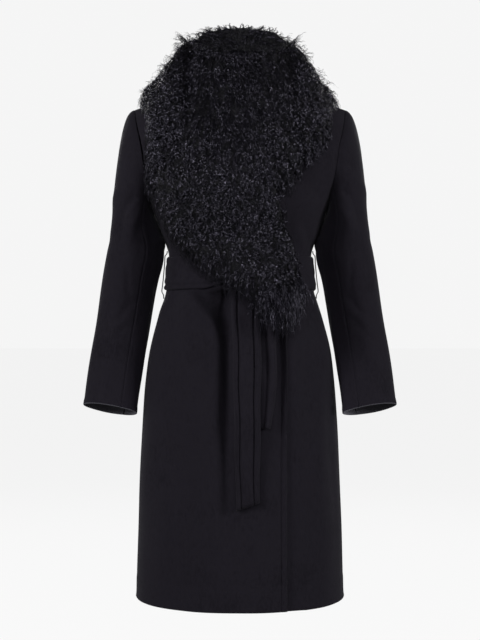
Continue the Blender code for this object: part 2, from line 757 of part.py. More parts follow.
def crossing_way(point):
    """Direction of the fur at the crossing, common to both halves."""
    way = np.array((3.4 * point[0], -1.0, 0.25 * ease(-0.26, -0.18, point[2])))
    return way / np.linalg.norm(way)


def collar_rays(table, tree, sign, stations, steps, gap):
    """Places on the coat under each ray of the collar, and the directions out of the cloth."""
    last = table[-1][0]
    places = np.zeros((stations + 1, steps + 1, 3))
    ways = np.zeros((stations + 1, steps + 1, 3))
    for k in range(stations + 1):
        turn = last * k / stations
        outer_x, outer_z, bow = sample(table, turn)
        root = neck_point(sign * turn)
        near_ridge = ease(72.0, 90.0, turn) * ease(108.0, 90.0, turn)
        depth = skirt_depth(outer_x, outer_z, turn > 90.0) * (1 - near_ridge)
        tip = np.array((outer_x, depth, outer_z))
        control = (root + tip) / 2 + np.array((2 * bow, 0.0, 0.0))
        crossing = ease(last - 22.0, last, turn)
        for i in range(steps + 1):
            t = (i / steps) ** 1.15
            point = root * (1 - t) ** 2 + control * 2 * t * (1 - t) + tip * t**2
            point[0] += gap * crossing - 0.027 * mitre(crossing, float(np.linalg.norm(point - root)))
            place, normal, index, distance = tree.find_nearest(Vector(point))
            if crossing > 0:
                ahead = tree.ray_cast(Vector((point[0], -1.0, point[2])), Vector((0.0, 1.0, 0.0)), 0.96)[0]
                if ahead is not None:
                    place, normal, index, distance = tree.find_nearest(place.lerp(ahead, crossing))
            places[k, i] = place
            ways[k, i] = normal
    ways = smooth_ways(ways, 14)
    for k in range(stations + 1):
        crossing = ease(last - 22.0, last, last * k / stations)
        for i in range(steps + 1):
            ways[k, i] += (crossing_way(places[k, i]) - ways[k, i]) * crossing
    return places, ways / np.linalg.norm(ways, axis=2)[:, :, None]


def pile_line(under, places, ways, turn, last, sign, pile):
    """Fur surface above one ray of the collar, from the rim out to the edge."""
    up = np.array((0.0, 0.0, 1.0))
    crossing = ease(last - 22.0, last, turn)
    lengths = np.concatenate(((0.0,), np.cumsum(np.linalg.norm(np.diff(places, axis=0), axis=1))))
    rise = sample(STAND, turn)[0]
    line = []
    for i, length in enumerate(lengths):
        far = lengths[-1] - length
        round_off = math.sqrt(max(1 - (1 - min(far / PILE_EDGE, 1.0)) ** 2, 0.0))
        stand = (rise - pile) * (1 - ease(0.0, 0.095, length))
        calm = (1 - crossing) * ease(0.02, 0.08, length) * ease(0.0, 0.03, far)
        ridge = ease(66.0, 90.0, turn) * ease(118.0, 92.0, turn) * ease(0.02, 0.07, length)
        height = 0.004 + pile * round_off * (1 - 0.14 * ridge) + stand
        height *= 0.87 + 0.13 * ease(-0.006, 0.020, length)
        height *= 1 + 0.085 * tufts(turn * 0.0098 * sign, length * 2.2) * calm
        way = ways[i] + up * 3.0 * (1 - ease(0.0, 0.11, length))
        way /= np.linalg.norm(way)
        lean = np.array((mitre(crossing, length) * height, 0.0, 0.0))
        line.append(under[i] + way * height + lean)
    return line


def even_out(lines, until):
    """Lines of the fur evened out over their neighbours; the seam, the edge and the crossing stay."""
    share = np.minimum(np.arange(lines.shape[1])[::-1] / 4, 1.0)[None, :, None]
    for _ in range(3):
        mean = lines[:until - 1] * 0.25 + lines[1:until] * 0.5 + lines[2:until + 1] * 0.25
        lines[1:until] += (mean - lines[1:until]) * share
    return lines


def build_collar(name, table, tree, others, sign, pile, gap):
    """Half of the collar: rays fan out from the neckline over the shoulder and the chest."""
    stations = 32
    steps = 12
    last = table[-1][0]
    places, ways = collar_rays(table, tree, sign, stations, steps, gap)
    unders = places + ways * 0.0006
    front = np.arange(stations + 1) * last / stations > 90.0
    for k in np.nonzero(front)[0]:
        for i in range(steps + 1):
            unders[k, i] += ways[k, i] * clearance(places[k, i][0], places[k, i][2])
    unders = push_out(unders, ways, [tree] + others, 0.0022)
    seam = slice(0, 3)
    unders[seam, 0] = places[seam, 0] + ways[seam, 0] * NECK_SEAM
    outers = np.array([pile_line(unders[k], places[k], ways[k], last * k / stations, last, sign, pile)
                       for k in range(stations + 1)])
    outers = even_out(outers, int(stations * 0.86))
    loops = []
    for k in range(stations + 1):
        under = unders[k]
        outer = outers[k]
        inward = neck_point(sign * last * k / stations) * np.array((-1.0, -1.0, 0.0))
        inward /= np.linalg.norm(inward)
        loop = list(under[::-1])
        for share, pull in ((0.25, 0.013), (0.55, 0.019), (0.82, 0.013)):
            loop.append(under[0] + (outer[0] - under[0]) * share + inward * pull)
        loop += list(outer)
        if k == 0:
            loop = [np.array((-sign * 0.0002, p[1], p[2])) for p in loop]
        loops.append(loop)
    caps = [(steps - i, steps - i - 1, steps + 5 + i, steps + 4 + i) for i in range(steps)]
    caps.append(tuple(range(steps, steps + 5)))
    add_loft(name, loops, FUR, caps)


def skirt_depth(x, z, front):
    """Rough depth of the coat at a place seen from the front or the back."""
    half, ahead, behind, roundness = sample(BODY, min(z, CHEST_Z))
    wide = half + max(z - CHEST_Z, 0.0) / (SHOULDER_Z - CHEST_Z) * (SHOULDER_HALF_WIDTH - half)
    share = max(1 - min(abs(x) / wide, 1.0) ** roundness, 0.0) ** (1 / roundness)
    top = min(max((z - CHEST_Z) / (0.03 - CHEST_Z), 0.0), 1.0)
    share *= math.sqrt(max(1 - top**2, 0.0))
    return -ahead * share if front else behind * share


def surface_tree(sheets):
    """The coat's outer surface, front and back, faces out, for laying the collar on it."""
    vertices = []
    faces = []
    for points, normals, used in sheets:
        rows, columns = points.shape[:2]
        start = len(vertices)
        vertices.extend(Vector(p) for p in points.reshape(-1, 3))
        for i in range(rows - 1):
            for j in range(columns - 1):
                if not used[i:i + 2, j:j + 2].all():
                    continue
                a = start + i * columns + j
                face = (a, a + 1, a + columns + 1, a + columns)
                turn = np.cross(points[i, j + 1] - points[i, j], points[i + 1, j] - points[i, j])
                if np.dot(turn, normals[i, j]) < 0:
                    face = face[::-1]
                faces.append(face)
    return BVHTree.FromPolygons(vertices, faces)


for old in list(bpy.data.objects):
    bpy.data.objects.remove(old, do_unlink=True)
COAT = bpy.data.collections.new("shearling_collar_coat")
bpy.context.scene.collection.children.link(COAT)
WOOL = material("black_wool", (0.011, 0.011, 0.014), 0.92)
FUR = material("black_curly_lamb", (0.008, 0.008, 0.010), 0.75)

front_sheet, back_sheet = build_body()
build_sleeves()
build_belt(front_sheet, back_sheet)
coat_tree = surface_tree((front_sheet, back_sheet))
belt_tree = object_tree(("belt_band", "belt_knot", "belt_tail_long", "belt_tail_short"))
sleeve_tree = object_tree([o.name for o in COAT.objects if o.name.startswith("sleeve")])
build_collar("collar_right", RIGHT_COLLAR, coat_tree, [belt_tree, sleeve_tree], 1, PILE, 0.0)
build_collar("collar_left", LEFT_COLLAR, coat_tree, [belt_tree, sleeve_tree], -1, UNDER_PILE, 0.0020)
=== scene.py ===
# %% [markdown]
# # A belted wrap coat with a curly lamb collar
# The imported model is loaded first: its nodes are the plain solids of the coat, in metres, with the front facing -Y.
# Every piece made below lies on one of those solids and stands for it, so nothing has to be fitted by eye.

# %% Load the frame
import json
import math

import bmesh
import bpy
import numpy as np
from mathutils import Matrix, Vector
from mathutils import noise as lumps
from mathutils.bvhtree import BVHTree

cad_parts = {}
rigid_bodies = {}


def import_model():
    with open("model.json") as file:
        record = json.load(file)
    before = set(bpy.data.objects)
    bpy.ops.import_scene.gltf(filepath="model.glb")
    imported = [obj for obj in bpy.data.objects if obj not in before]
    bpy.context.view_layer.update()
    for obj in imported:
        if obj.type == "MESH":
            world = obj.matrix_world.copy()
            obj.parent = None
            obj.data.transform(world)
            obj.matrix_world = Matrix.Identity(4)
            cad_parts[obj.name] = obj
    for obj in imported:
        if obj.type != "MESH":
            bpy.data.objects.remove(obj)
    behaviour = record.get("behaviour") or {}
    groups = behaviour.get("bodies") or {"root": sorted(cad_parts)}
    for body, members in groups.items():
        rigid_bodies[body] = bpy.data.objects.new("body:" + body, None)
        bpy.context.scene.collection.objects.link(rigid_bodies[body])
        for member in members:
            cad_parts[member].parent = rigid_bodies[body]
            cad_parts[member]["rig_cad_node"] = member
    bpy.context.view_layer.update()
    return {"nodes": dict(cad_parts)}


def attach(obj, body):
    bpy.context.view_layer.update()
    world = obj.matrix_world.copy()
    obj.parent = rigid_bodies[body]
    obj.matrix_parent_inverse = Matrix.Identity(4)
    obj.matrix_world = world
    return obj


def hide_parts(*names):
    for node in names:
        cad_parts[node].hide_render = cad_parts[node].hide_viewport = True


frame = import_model()
print("nodes:", sorted(frame["nodes"]))

# %% [markdown]
# The photograph was taken level with the middle of the skirt, from about 2.4 m, with a short telephoto lens.
# A level camera keeps the sides of the coat upright, and that distance gives the cuffs and the hem their curve.

# %% Camera
FOCAL_PIXELS = 1220.6
PICTURE_HEIGHT = 640
CAMERA_AWAY = 2.4
CAMERA_Z = -0.464

scene = bpy.context.scene
camera = bpy.data.objects.new("camera", bpy.data.cameras.new("camera"))
scene.collection.objects.link(camera)
camera.location = (0.0, -CAMERA_AWAY, CAMERA_Z)
camera.rotation_euler = (math.pi / 2, 0.0, 0.0)
camera.data.sensor_width = 36.0
camera.data.lens = FOCAL_PIXELS / PICTURE_HEIGHT * camera.data.sensor_width
scene.camera = camera
print("lens in millimetres:", round(camera.data.lens, 2))

# %% [markdown]
# ## Studio
# The coat is seen against a nearly white room, as in a product studio. The world is pale all round and only darkens
# overhead, so the shoulders and the top of the fleece don't turn grey. One small helper sets the inputs of a node.

# %% Sky
PALE = 0.915
OVERHEAD = 0.20
SKY_FADE = (0.32, 0.80)


def dial(node, values):
    """Sets the inputs of a node by their names."""
    for name, value in values.items():
        node.inputs[name].default_value = value


scene.view_settings.view_transform = "Standard"
world = bpy.data.worlds.new("studio")
scene.world = world
world.use_nodes = True
sky_nodes, sky_links = world.node_tree.nodes, world.node_tree.links
sky_place = sky_nodes.new("ShaderNodeTexCoord")
sky_height = sky_nodes.new("ShaderNodeSeparateXYZ")
sky_tone = sky_nodes.new("ShaderNodeMapRange")
dial(sky_tone, {"From Min": SKY_FADE[0], "From Max": SKY_FADE[1], "To Min": PALE, "To Max": OVERHEAD})
sky_links.new(sky_place.outputs["Generated"], sky_height.inputs["Vector"])
sky_links.new(sky_height.outputs["Z"], sky_tone.inputs["Value"])
sky_links.new(sky_tone.outputs["Result"], sky_nodes["Background"].inputs["Color"])
print("nodes of the sky:", len(sky_nodes))

# %% [markdown]
# The floor is a wide square far below the hem. It glows in the tone of the sky, so it runs into it without a horizon
# and keeps hardly any shadow, which is how a cut-out product picture looks.

# %% Floor
FLOOR_Z = -1.45
FLOOR_HALF = 40

corners = [(x * FLOOR_HALF, y * FLOOR_HALF, FLOOR_Z) for x, y in ((-1, -1), (1, -1), (1, 1), (-1, 1))]
floor_mesh = bpy.data.meshes.new("floor")
floor_mesh.from_pydata(corners, [], [(0, 1, 2, 3)])
floor = bpy.data.objects.new("floor", floor_mesh)
scene.collection.objects.link(floor)
paint = bpy.data.materials.new("pale_floor")
paint.use_nodes = True
dial(paint.node_tree.nodes["Principled BSDF"], {
    "Base Color": (0.03, 0.03, 0.03, 1.0), "Emission Color": (PALE, PALE, PALE, 1.0), "Emission Strength": 0.96,
    "Roughness": 0.9, "Specular IOR Level": 0.0})
floor_mesh.materials.append(paint)
print("floor at:", FLOOR_Z)

# %% [markdown]
# Black cloth shows its form only through soft light that grazes it, so the lamps are large and stand to both sides,
# with a broad one in front for the curls and two weak ones behind. A track quaternion turns each one to its target.

# %% Lamps
LAMPS = (
    # name, where it stands, what it is turned to, side, power
    ("key_left", (-2.8, -2.1, 0.7), (0.0, 0.0, -0.4), 1.2, 320.0),
    ("key_right", (3.1, -1.6, 0.4), (0.0, 0.0, -0.4), 1.2, 285.0),
    ("front", (-0.5, -3.6, 0.9), (0.0, 0.0, -0.5), 1.2, 110.0),
    ("back_left", (-1.5, 3.5, 1.2), (0.0, 0.0, -0.4), 1.6, 75.0),
    ("back_right", (1.4, 3.6, 1.1), (0.0, 0.0, -0.4), 1.6, 75.0),
)
for name, place, aim, size, power in LAMPS:
    soft_box = bpy.data.lights.new(name, "AREA")
    soft_box.size = size
    soft_box.energy = power
    lamp = bpy.data.objects.new(name, soft_box)
    lamp.location = place
    lamp.rotation_euler = (Vector(aim) - Vector(place)).to_track_quat("-Z", "Y").to_euler()
    scene.collection.objects.link(lamp)

# %% [markdown]
# ## The coat's form
# A coat without a wearer is a set of bent sheets. Each panel here is a grid of points: rows run round the body, and
# columns run from the hem up to the shoulder. A short table of body sections gives the rows, so the waist is changed in
# one place and every panel follows.

# %% Sizes of the body
CHEST_Z = -0.252
CLOTH = 0.0025
LAYER_GAP = 0.0009
NECK_HALF_WIDTH = 0.078
NECK_HALF_DEPTH = 0.062
NECK_SIDE_Z = -0.005
NECK_FRONT_Z = -0.030
NECK_BACK_Z = 0.012
SHOULDER_HALF_WIDTH = 0.207
SHOULDER_Z = -0.051
BELT_THICK = 0.0045
BELT_GAP = 0.0006
KNOT_X = 0.012
KNOT_Z = -0.374
UNDERARM_GAP = 0.0010
UNDERARM_FALL = 0.0160
print("thickness of the cloth in millimetres:", CLOTH * 1000)

# %% [markdown]
# Seen from above, the body is a rounded section: an ellipse whose power is a little over two, so its sides are
# fuller. The sections at the waist are the narrowest, and the skirt opens evenly down to the hem. This table and the
# ones below are in millimetres, which a maker reads more easily; Blender's own unit is the metre.

# %% Sections of the body
def metres(rows, kept=()):
    """Rows of a table in millimetres, turned into metres; the kept columns are no lengths."""
    return [tuple(number if i in kept else number / 1000 for i, number in enumerate(row)) for row in rows]


BODY = metres((
    # height, half width, depth in front, depth behind, roundness
    (-1003, 202.5, 160, 150, 2.15),
    (-940, 201.5, 158, 149, 2.15),
    (-820, 197.6, 154, 145, 2.15),
    (-720, 193.7, 150, 142, 2.15),
    (-640, 189, 147, 140, 2.17),
    (-580, 184.5, 144, 136, 2.18),
    (-523, 177, 139, 130, 2.2),
    (-464, 162, 131, 118, 2.2),
    (-420, 148, 122, 106, 2.2),
    (-405, 144.5, 119, 102, 2.2),
    (-372, 141, 113, 95, 2.22),
    (-336, 140, 112, 95, 2.25),
    (-297, 153, 121, 101, 2.28),
    (-252, 169, 130, 108, 2.3),
), (4,))
print("body sections:", len(BODY))

# %% [markdown]
# The armhole is the loop in which a sleeve is sewn in. Front, back and sleeve all read it from this one table, so
# their edges meet. The sleeve below it is a row of ellipses along the arm, which bends forward at the elbow.

# %% Armholes and sleeves
ARMHOLE = metres((
    # turn from the shoulder tip forward in degrees, x, y, z
    (0, 207, 0, -51),
    (30, 201, -35, -85),
    (60, 190.5, -62, -130),
    (90, 183.5, -70, -175),
    (120, 176, -58, -215),
    (150, 171, -30, -243),
    (180, 169, 0, -252),
    (210, 171, 30, -243),
    (240, 176, 56, -216),
    (270, 184, 66, -177),
    (300, 191, 58, -130),
    (330, 201, 34, -85),
    (360, 207, 0, -51),
), (0,))
SLEEVE = metres((
    # centre z, centre x, centre y, half width, half depth
    (-285, 208.3, 0, 46, 70),
    (-326, 205.8, 2, 54, 62.5),
    (-375, 213.8, 2, 53.5, 58.5),
    (-425, 221.3, 0, 53.5, 55.5),
    (-475, 228.5, -7, 53.2, 52),
    (-522, 235.5, -18, 52.8, 48.5),
    (-570, 242, -30.5, 52.4, 45.5),
    (-634, 249.5, -50, 51.8, 41.5),
))
SLEEVE_TOP, SLEEVE_END = SLEEVE[0][0], SLEEVE[-1][0]
print("points of the armhole:", len(ARMHOLE), "rings of the sleeve:", len(SLEEVE))

# %% [markdown]
# Straight lines between the rows of a table would leave kinks in the cloth. A Hermite curve passes through two rows
# with a given slope at each, so they join smoothly. Two smaller helpers blend from 0 to 1: one softly, for a single
# number, and one straight, for whole grids.

# %% Smooth curves through a table
def hermite(start, end, start_way, end_way, t):
    """Curve between two places with a way at each; t goes from 0 to 1."""
    return (start * (2 * t**3 - 3 * t**2 + 1) + start_way * (t**3 - 2 * t**2 + t)
            + end * (3 * t**2 - 2 * t**3) + end_way * (t**3 - t**2))


def sample(table, key):
    """Smooth row of a table at a key, by a Hermite curve through its rows."""
    rows = np.array(table, float)
    keys = rows[:, 0]
    if keys[0] > keys[-1]:
        rows = rows[::-1]
        keys = rows[:, 0]
    if key <= keys[0]:
        return rows[0, 1:]
    if key >= keys[-1]:
        return rows[-1, 1:]
    i = int(np.searchsorted(keys, key)) - 1
    span = keys[i + 1] - keys[i]
    t = (key - keys[i]) / span
    here = rows[i, 1:]
    there = rows[i + 1, 1:]
    slope_here = (there - here) / span
    slope_there = slope_here
    if i > 0:
        slope_here = (there - rows[i - 1, 1:]) / (keys[i + 1] - keys[i - 1])
    if i < len(rows) - 2:
        slope_there = (rows[i + 2, 1:] - here) / (keys[i + 2] - keys[i])
    return hermite(here, there, slope_here * span, slope_there * span, t)


def ease(low, high, value):
    """0 at the first limit and 1 at the second, with a soft start and end."""
    t = min(max((value - low) / (high - low), 0.0), 1.0)
    return t * t * (3 - 2 * t)


def rising(values, start, reach):
    """0 up to a start, then straight up to 1 over a reach; with a reach below zero it rises the other way."""
    return np.clip((values - start) / reach, 0, 1)


print("half width of the waist:", round(float(sample(BODY, -0.37)[0]), 3))

# %% [markdown]
# The skirt falls in a few long soft folds. Each one is a row in a table: where it starts and ends, how high it stands
# and how wide it is. Uneven numbers make it look like cloth; equal ones would look like a machine part.
# Across, a fold is a bell curve, which has no edge to catch the light. It starts rather suddenly at the belt, where the
# cloth is held, and runs out softly below.

# %% Long folds
FOLDS = metres((
    # x at top, x at bottom, top z, bottom z, height at top, height at bottom, half width
    (-24, -27, -412, -880, -14, -3, 11),
    (-45, -42, -450, -860, 6, 2, 12),
    (-100, -40, -411, -480, 7, 5, 16),
    (-52, -30, -410, -452, -14, -10, 19),
    (73, 73, -414, -690, -12, -1, 8.5),
    (105, 108, -414, -760, 5, 2, 15),
    (-125, -135, -430, -900, 3, 4, 30),
    (150, 165, -414, -520, 3, 1, 10),
))
BACK_FOLDS = metres((
    # x at top, x at bottom, top z, bottom z, height at top, height at bottom, half width
    (50, 65, -412, -960, -7, -4, 16),
    (-56, -70, -412, -900, -6, -5, 18),
    (5, -5, -420, -980, 5, 4, 22),
))
FOLD_START = 0.004
FOLD_FADE = 0.06


def fold_height(x, z, folds):
    """How far the cloth stands out of the plain form in a long fold."""
    total = 0.0
    for top_x, low_x, top_z, low_z, top_height, low_height, width in folds:
        if z > top_z + FOLD_START or z < low_z - FOLD_FADE:
            continue
        share = min(max((top_z - z) / (top_z - low_z), 0.0), 1.0)
        fade = ease(top_z + FOLD_START, top_z - 0.008, z) * ease(low_z - FOLD_FADE, low_z, z)
        across = math.exp(-((x - top_x - share * (low_x - top_x)) / width) ** 2)
        total += (top_height + share * (low_height - top_height)) * across * fade
    return total


print("deepest long fold in millimetres:", round(fold_height(-0.052, -0.42, FOLDS) * 1000, 1))

# %% [markdown]
# Below the chest a point of the coat lies on the section at its height, and a turn says how far round. The section is
# a superellipse, because a true ellipse would look too round at the hips.

# %% Points of the body
def section_point(turn, z, front):
    """Point of the body at a height; turn -1 is the right side seam, 0 the middle, 1 the left."""
    half, ahead, behind, roundness = sample(BODY, z)
    angle = turn * math.pi / 2
    power = 2 / roundness
    x = half * math.copysign(abs(math.sin(angle)) ** power, turn)
    depth = max(math.cos(angle), 0.0) ** power
    return np.array((x, -ahead * depth if front else behind * depth, z))


def turn_of(x, z):
    """Turn at which the body section at a height reaches a given x."""
    half, ahead, behind, roundness = sample(BODY, z)
    return math.copysign(math.asin(min(abs(x) / half, 1.0) ** (roundness / 2)) / (math.pi / 2), x)


print("front of the waist:", section_point(0.0, -0.37, True).round(3))

# %% [markdown]
# Above the chest the coat narrows to the neck and the shoulders. Each column runs there as one curve from the chest to
# the neckline or the shoulder seam, and the outer ones are drawn out to the armhole, as if pinned to it.

# %% Points above the chest
NECK_SHARE = 0.38


def top_line(turn, front):
    """Neckline in the middle, then the shoulder seam out to the shoulder tip."""
    if abs(turn) < NECK_SHARE:
        angle = turn / NECK_SHARE * math.pi / 2
        way, middle_z = (-1, NECK_FRONT_Z) if front else (1, NECK_BACK_Z)
        return np.array((NECK_HALF_WIDTH * math.sin(angle), way * NECK_HALF_DEPTH * math.cos(angle),
                         NECK_SIDE_Z + (middle_z - NECK_SIDE_Z) * math.cos(angle)))
    share = (abs(turn) - NECK_SHARE) / (1 - NECK_SHARE)
    x = NECK_HALF_WIDTH + share * (SHOULDER_HALF_WIDTH - NECK_HALF_WIDTH)
    return np.array((math.copysign(x, turn), 0.0, NECK_SIDE_Z + share * (SHOULDER_Z - NECK_SIDE_Z)))


def upper_raw(low_turn, top_turn, rise, front):
    """Point above the chest on a plain curve, before the armhole is taken into account."""
    low = section_point(low_turn, CHEST_Z, front)
    top = top_line(top_turn, front)
    side = ease(0.2, 0.7, abs(top_turn))
    back = (0.10 + 0.18 * side) * (1 if front else -1)
    low_way = np.array((top[0] - low[0], 0.0, 0.24))
    top_way = np.array((top[0] - low[0], back, 0.20 - 0.13 * side))
    return hermite(low, top, low_way, top_way, rise)


def armhole_point(side, turn):
    """Point of the armhole of one side; a turn of 0 is the shoulder tip."""
    x, y, z = sample(ARMHOLE, turn)
    return np.array((side * x, y, z))


def upper_point(low_turn, top_turn, side_turn, rise, front):
    """Point above the chest, drawn out at the side to the armhole."""
    point = upper_raw(low_turn, top_turn, rise, front)
    side = math.copysign(1.0, low_turn)
    swing = CORNER_TURN * (1 - rise) ** 0.9
    target = armhole_point(side, swing if front else 360 - swing)
    pull = target - upper_raw(side * side_turn, side, rise, front)
    return point + pull * min(abs(low_turn) / side_turn, 1.0) ** 5


print("tip of the left shoulder:", armhole_point(1.0, 0.0).round(3))

# %% [markdown]
# The solids use few columns. The cloth that is seen needs more, so each gap between two of the solid's columns or rows
# is divided again. The divided grid passes through the same points, so the cloth stays on its solid.

# %% Fine columns and rows
def parted(values, count):
    """A run of numbers with each gap divided in the same count."""
    out = [values[0]]
    for a, b in zip(values, values[1:]):
        out += [a + (b - a) * (i + 1) / count for i in range(count)]
    return out


def divided(values, longest):
    """A run of numbers with more put in between, so that no step is longer than asked."""
    out = [values[0]]
    for a, b in zip(values, values[1:]):
        out += parted((a, b), max(1, math.ceil(abs(b - a) / longest)))[1:]
    return out


SPLIT = 3
FRONT_X = parted((-0.075, -0.056, -0.043, -0.034, -0.025, -0.012, 0.007, 0.027, 0.047, 0.063, 0.0735), SPLIT)
FRONT_X += [0.0748, 0.0758, 0.0767, 0.0778, 0.0800, 0.0830, 0.0856, 0.0868, 0.0876]
SIDE_SHARES = parted((0.0, 0.13, 0.28, 0.44, 0.62, 0.72, 0.82, 0.91, 0.9992), SPLIT)[1:]
BACK_COLUMNS = parted((-0.9994, -0.86, -0.72, -0.58, -0.45, -0.34, -0.23, -0.11, 0.0,
                       0.11, 0.23, 0.34, 0.45, 0.58, 0.72, 0.86, 0.9994), SPLIT + 1)
BELT_ROWS = (-0.406, -0.388, -0.365, -0.341)
SKIRT_ROWS = divided((-1.003, -0.508, -0.426) + BELT_ROWS + (CHEST_Z,), 0.0075)
TOP_ROWS = tuple(parted((0.0, 0.13, 0.28, 0.43, 0.58, 0.72, 0.85, 0.94, 0.9988), SPLIT + 1)[1:])
FRONT_CORNER = 4 * SPLIT
BACK_CORNER = 2 * (SPLIT + 1)
CORNER_TURN = 118.0
print("rows in the skirt:", len(SKIRT_ROWS), "columns in front:", len(FRONT_X) + 2 * len(SIDE_SHARES))

# %% [markdown]
# The columns of the front stand at fixed places beside the middle, where the belt's ends and the front edge need them,
# and are shared out evenly from there to the side seams. At the top the same columns are gathered into the neckline.

# %% Columns of the front
NECK_EDGE = 0.03


def spread(inner):
    """Turns of the inner columns with the side columns added on both hands."""
    left = [inner[0] + share * (-1 - inner[0]) for share in reversed(SIDE_SHARES)]
    right = [inner[-1] + share * (1 - inner[-1]) for share in SIDE_SHARES]
    return left + inner + right


def front_columns(z):
    """Turns of the front's columns at a height, from the right side seam to the left one."""
    return spread([turn_of(x, z) for x in FRONT_X])


def neck_columns(low, corner):
    """Turns of the same columns at the top, where both front edges end near the middle."""
    count = len(FRONT_X)
    start = len(SIDE_SHARES)
    tops = []
    for j, turn in enumerate(low):
        if j < start:
            share = (turn - low[start]) / (low[corner] - low[start])
            tops.append(-NECK_EDGE + share * (-1 + NECK_EDGE))
        elif j < start + count:
            tops.append(-NECK_EDGE + 2 * NECK_EDGE * (j - start) / (count - 1))
        else:
            share = (turn - low[start + count - 1]) / (low[-1 - corner] - low[start + count - 1])
            tops.append(NECK_EDGE + share * (1 - NECK_EDGE))
    return tops


print("columns at the hem:", len(front_columns(SKIRT_ROWS[0])))

# %% [markdown]
# Cloth gets its thickness along normals: directions that stand straight out of the sheet. They come from the
# differences between neighbouring points. At a corner of the armhole a difference would reach across the gap, so
# there it is taken on one side only, and along the seams the normals of both panels are laid in one plane.

# %% Normals of a grid
BODY_MIDDLE = np.array((0.0, 0.0, -0.3))


def grid_normals(points, corner):
    """Unit normals of a grid of points, pointing away from the body's axis."""
    along = np.gradient(points, axis=0)
    across = np.gradient(points, axis=1)
    chest = len(SKIRT_ROWS) - 1
    for j in list(range(0, corner)) + list(range(points.shape[1] - corner, points.shape[1])):
        along[chest, j] = points[chest, j] - points[chest - 1, j]
    for j, step in ((corner, 1), (points.shape[1] - 1 - corner, -1)):
        across[chest + 1:, j] = (points[chest + 1:, j + step] - points[chest + 1:, j]) * step
    normals = np.cross(across, along)
    normals /= np.linalg.norm(normals, axis=2)[:, :, None] + 1e-12
    away = points - BODY_MIDDLE
    away[:, :, 2] *= 0.2
    flip = np.sign(np.sum(normals * away, axis=2))
    flip[flip == 0] = 1
    return normals * flip[:, :, None]


def seam_normals(points, corner):
    """Normals that lie in the seam's plane along the side seams and the shoulder seams."""
    normals = grid_normals(points, corner)
    for j in (0, points.shape[1] - 1):
        normals[:len(SKIRT_ROWS), j, 1] = 0.0
    shoulder = np.abs(points[-1, :, 0]) > NECK_HALF_WIDTH - 0.002
    normals[-1, shoulder, 1] = 0.0
    normals[np.linalg.norm(normals, axis=2) == 0] = (0.0, 0.0, 1.0)
    normals /= np.linalg.norm(normals, axis=2)[:, :, None]
    return normals


print("columns outside the armhole's corner:", FRONT_CORNER, "and", BACK_CORNER)

# %% [markdown]
# Below the chest each point lies on its section and stands out by the folds; above it the rows end at the armholes, and
# the corners of the grid stay unused. Last, both side columns move a little over the seam, so that no light shows
# between the panels.

# %% Grids of the front and the back
SEAM_OVERLAP = 0.0004


def body_grid(front):
    """Outer points of the front or the back, hem first; rows above the chest end at the armholes."""
    rows = []
    folds = FOLDS if front else BACK_FOLDS
    corner = FRONT_CORNER if front else BACK_CORNER
    for z in SKIRT_ROWS[:-1]:
        turns = front_columns(z) if front else BACK_COLUMNS
        row = []
        for turn in turns:
            point = section_point(turn, z, front)
            reach = np.array((point[0], point[1], 0.0))
            reach /= np.linalg.norm(reach)
            row.append(point + reach * fold_height(point[0], z, folds) * (1 - abs(turn) ** 8))
        rows.append(row)
    low = front_columns(CHEST_Z) if front else list(BACK_COLUMNS)
    top = neck_columns(low, corner) if front else [turn / low[-1 - corner] for turn in low]
    side_turn = low[-1 - corner]
    for rise in (0.0,) + TOP_ROWS:
        row = []
        for a, b in zip(low, top):
            if abs(a) > side_turn + 0.001:
                share = (abs(a) - side_turn) / (1 - side_turn)
                swing = CORNER_TURN + share * (180 - CORNER_TURN)
                row.append(armhole_point(math.copysign(1.0, a), swing if front else 360 - swing))
            else:
                way = min(max(b, -1.0), 1.0)
                row.append(upper_point(a, way, side_turn, rise, front))
        rows.append(row)
    points = np.array(rows)
    used = np.ones(points.shape[:2], bool)
    used[len(SKIRT_ROWS):, :corner] = False
    used[len(SKIRT_ROWS):, points.shape[1] - corner:] = False
    return points, used


front, front_used = body_grid(True)
back, back_used = body_grid(False)
for grid in (front, back):
    for edge, next_one in ((0, 1), (-1, -2)):
        way = grid[:, edge] - grid[:, next_one]
        grid[:, edge] += SEAM_OVERLAP * way / (np.linalg.norm(way, axis=1)[:, None] + 1e-12)
front_normals = seam_normals(front, FRONT_CORNER)
back_normals = seam_normals(back, BACK_CORNER)
print("front grid:", front.shape, "back grid:", back.shape)

# %% [markdown]
# ## Creases
# Heavy wool doesn't wrinkle sharply: it shows soft troughs and ridges where it is drawn in at the belt and at the
# armholes, and long faint waves in the skirt. Each crease is one row of a table, a short line on the cloth with a
# height and a width. Troughs have a height below zero. No two rows share a length or a spacing.

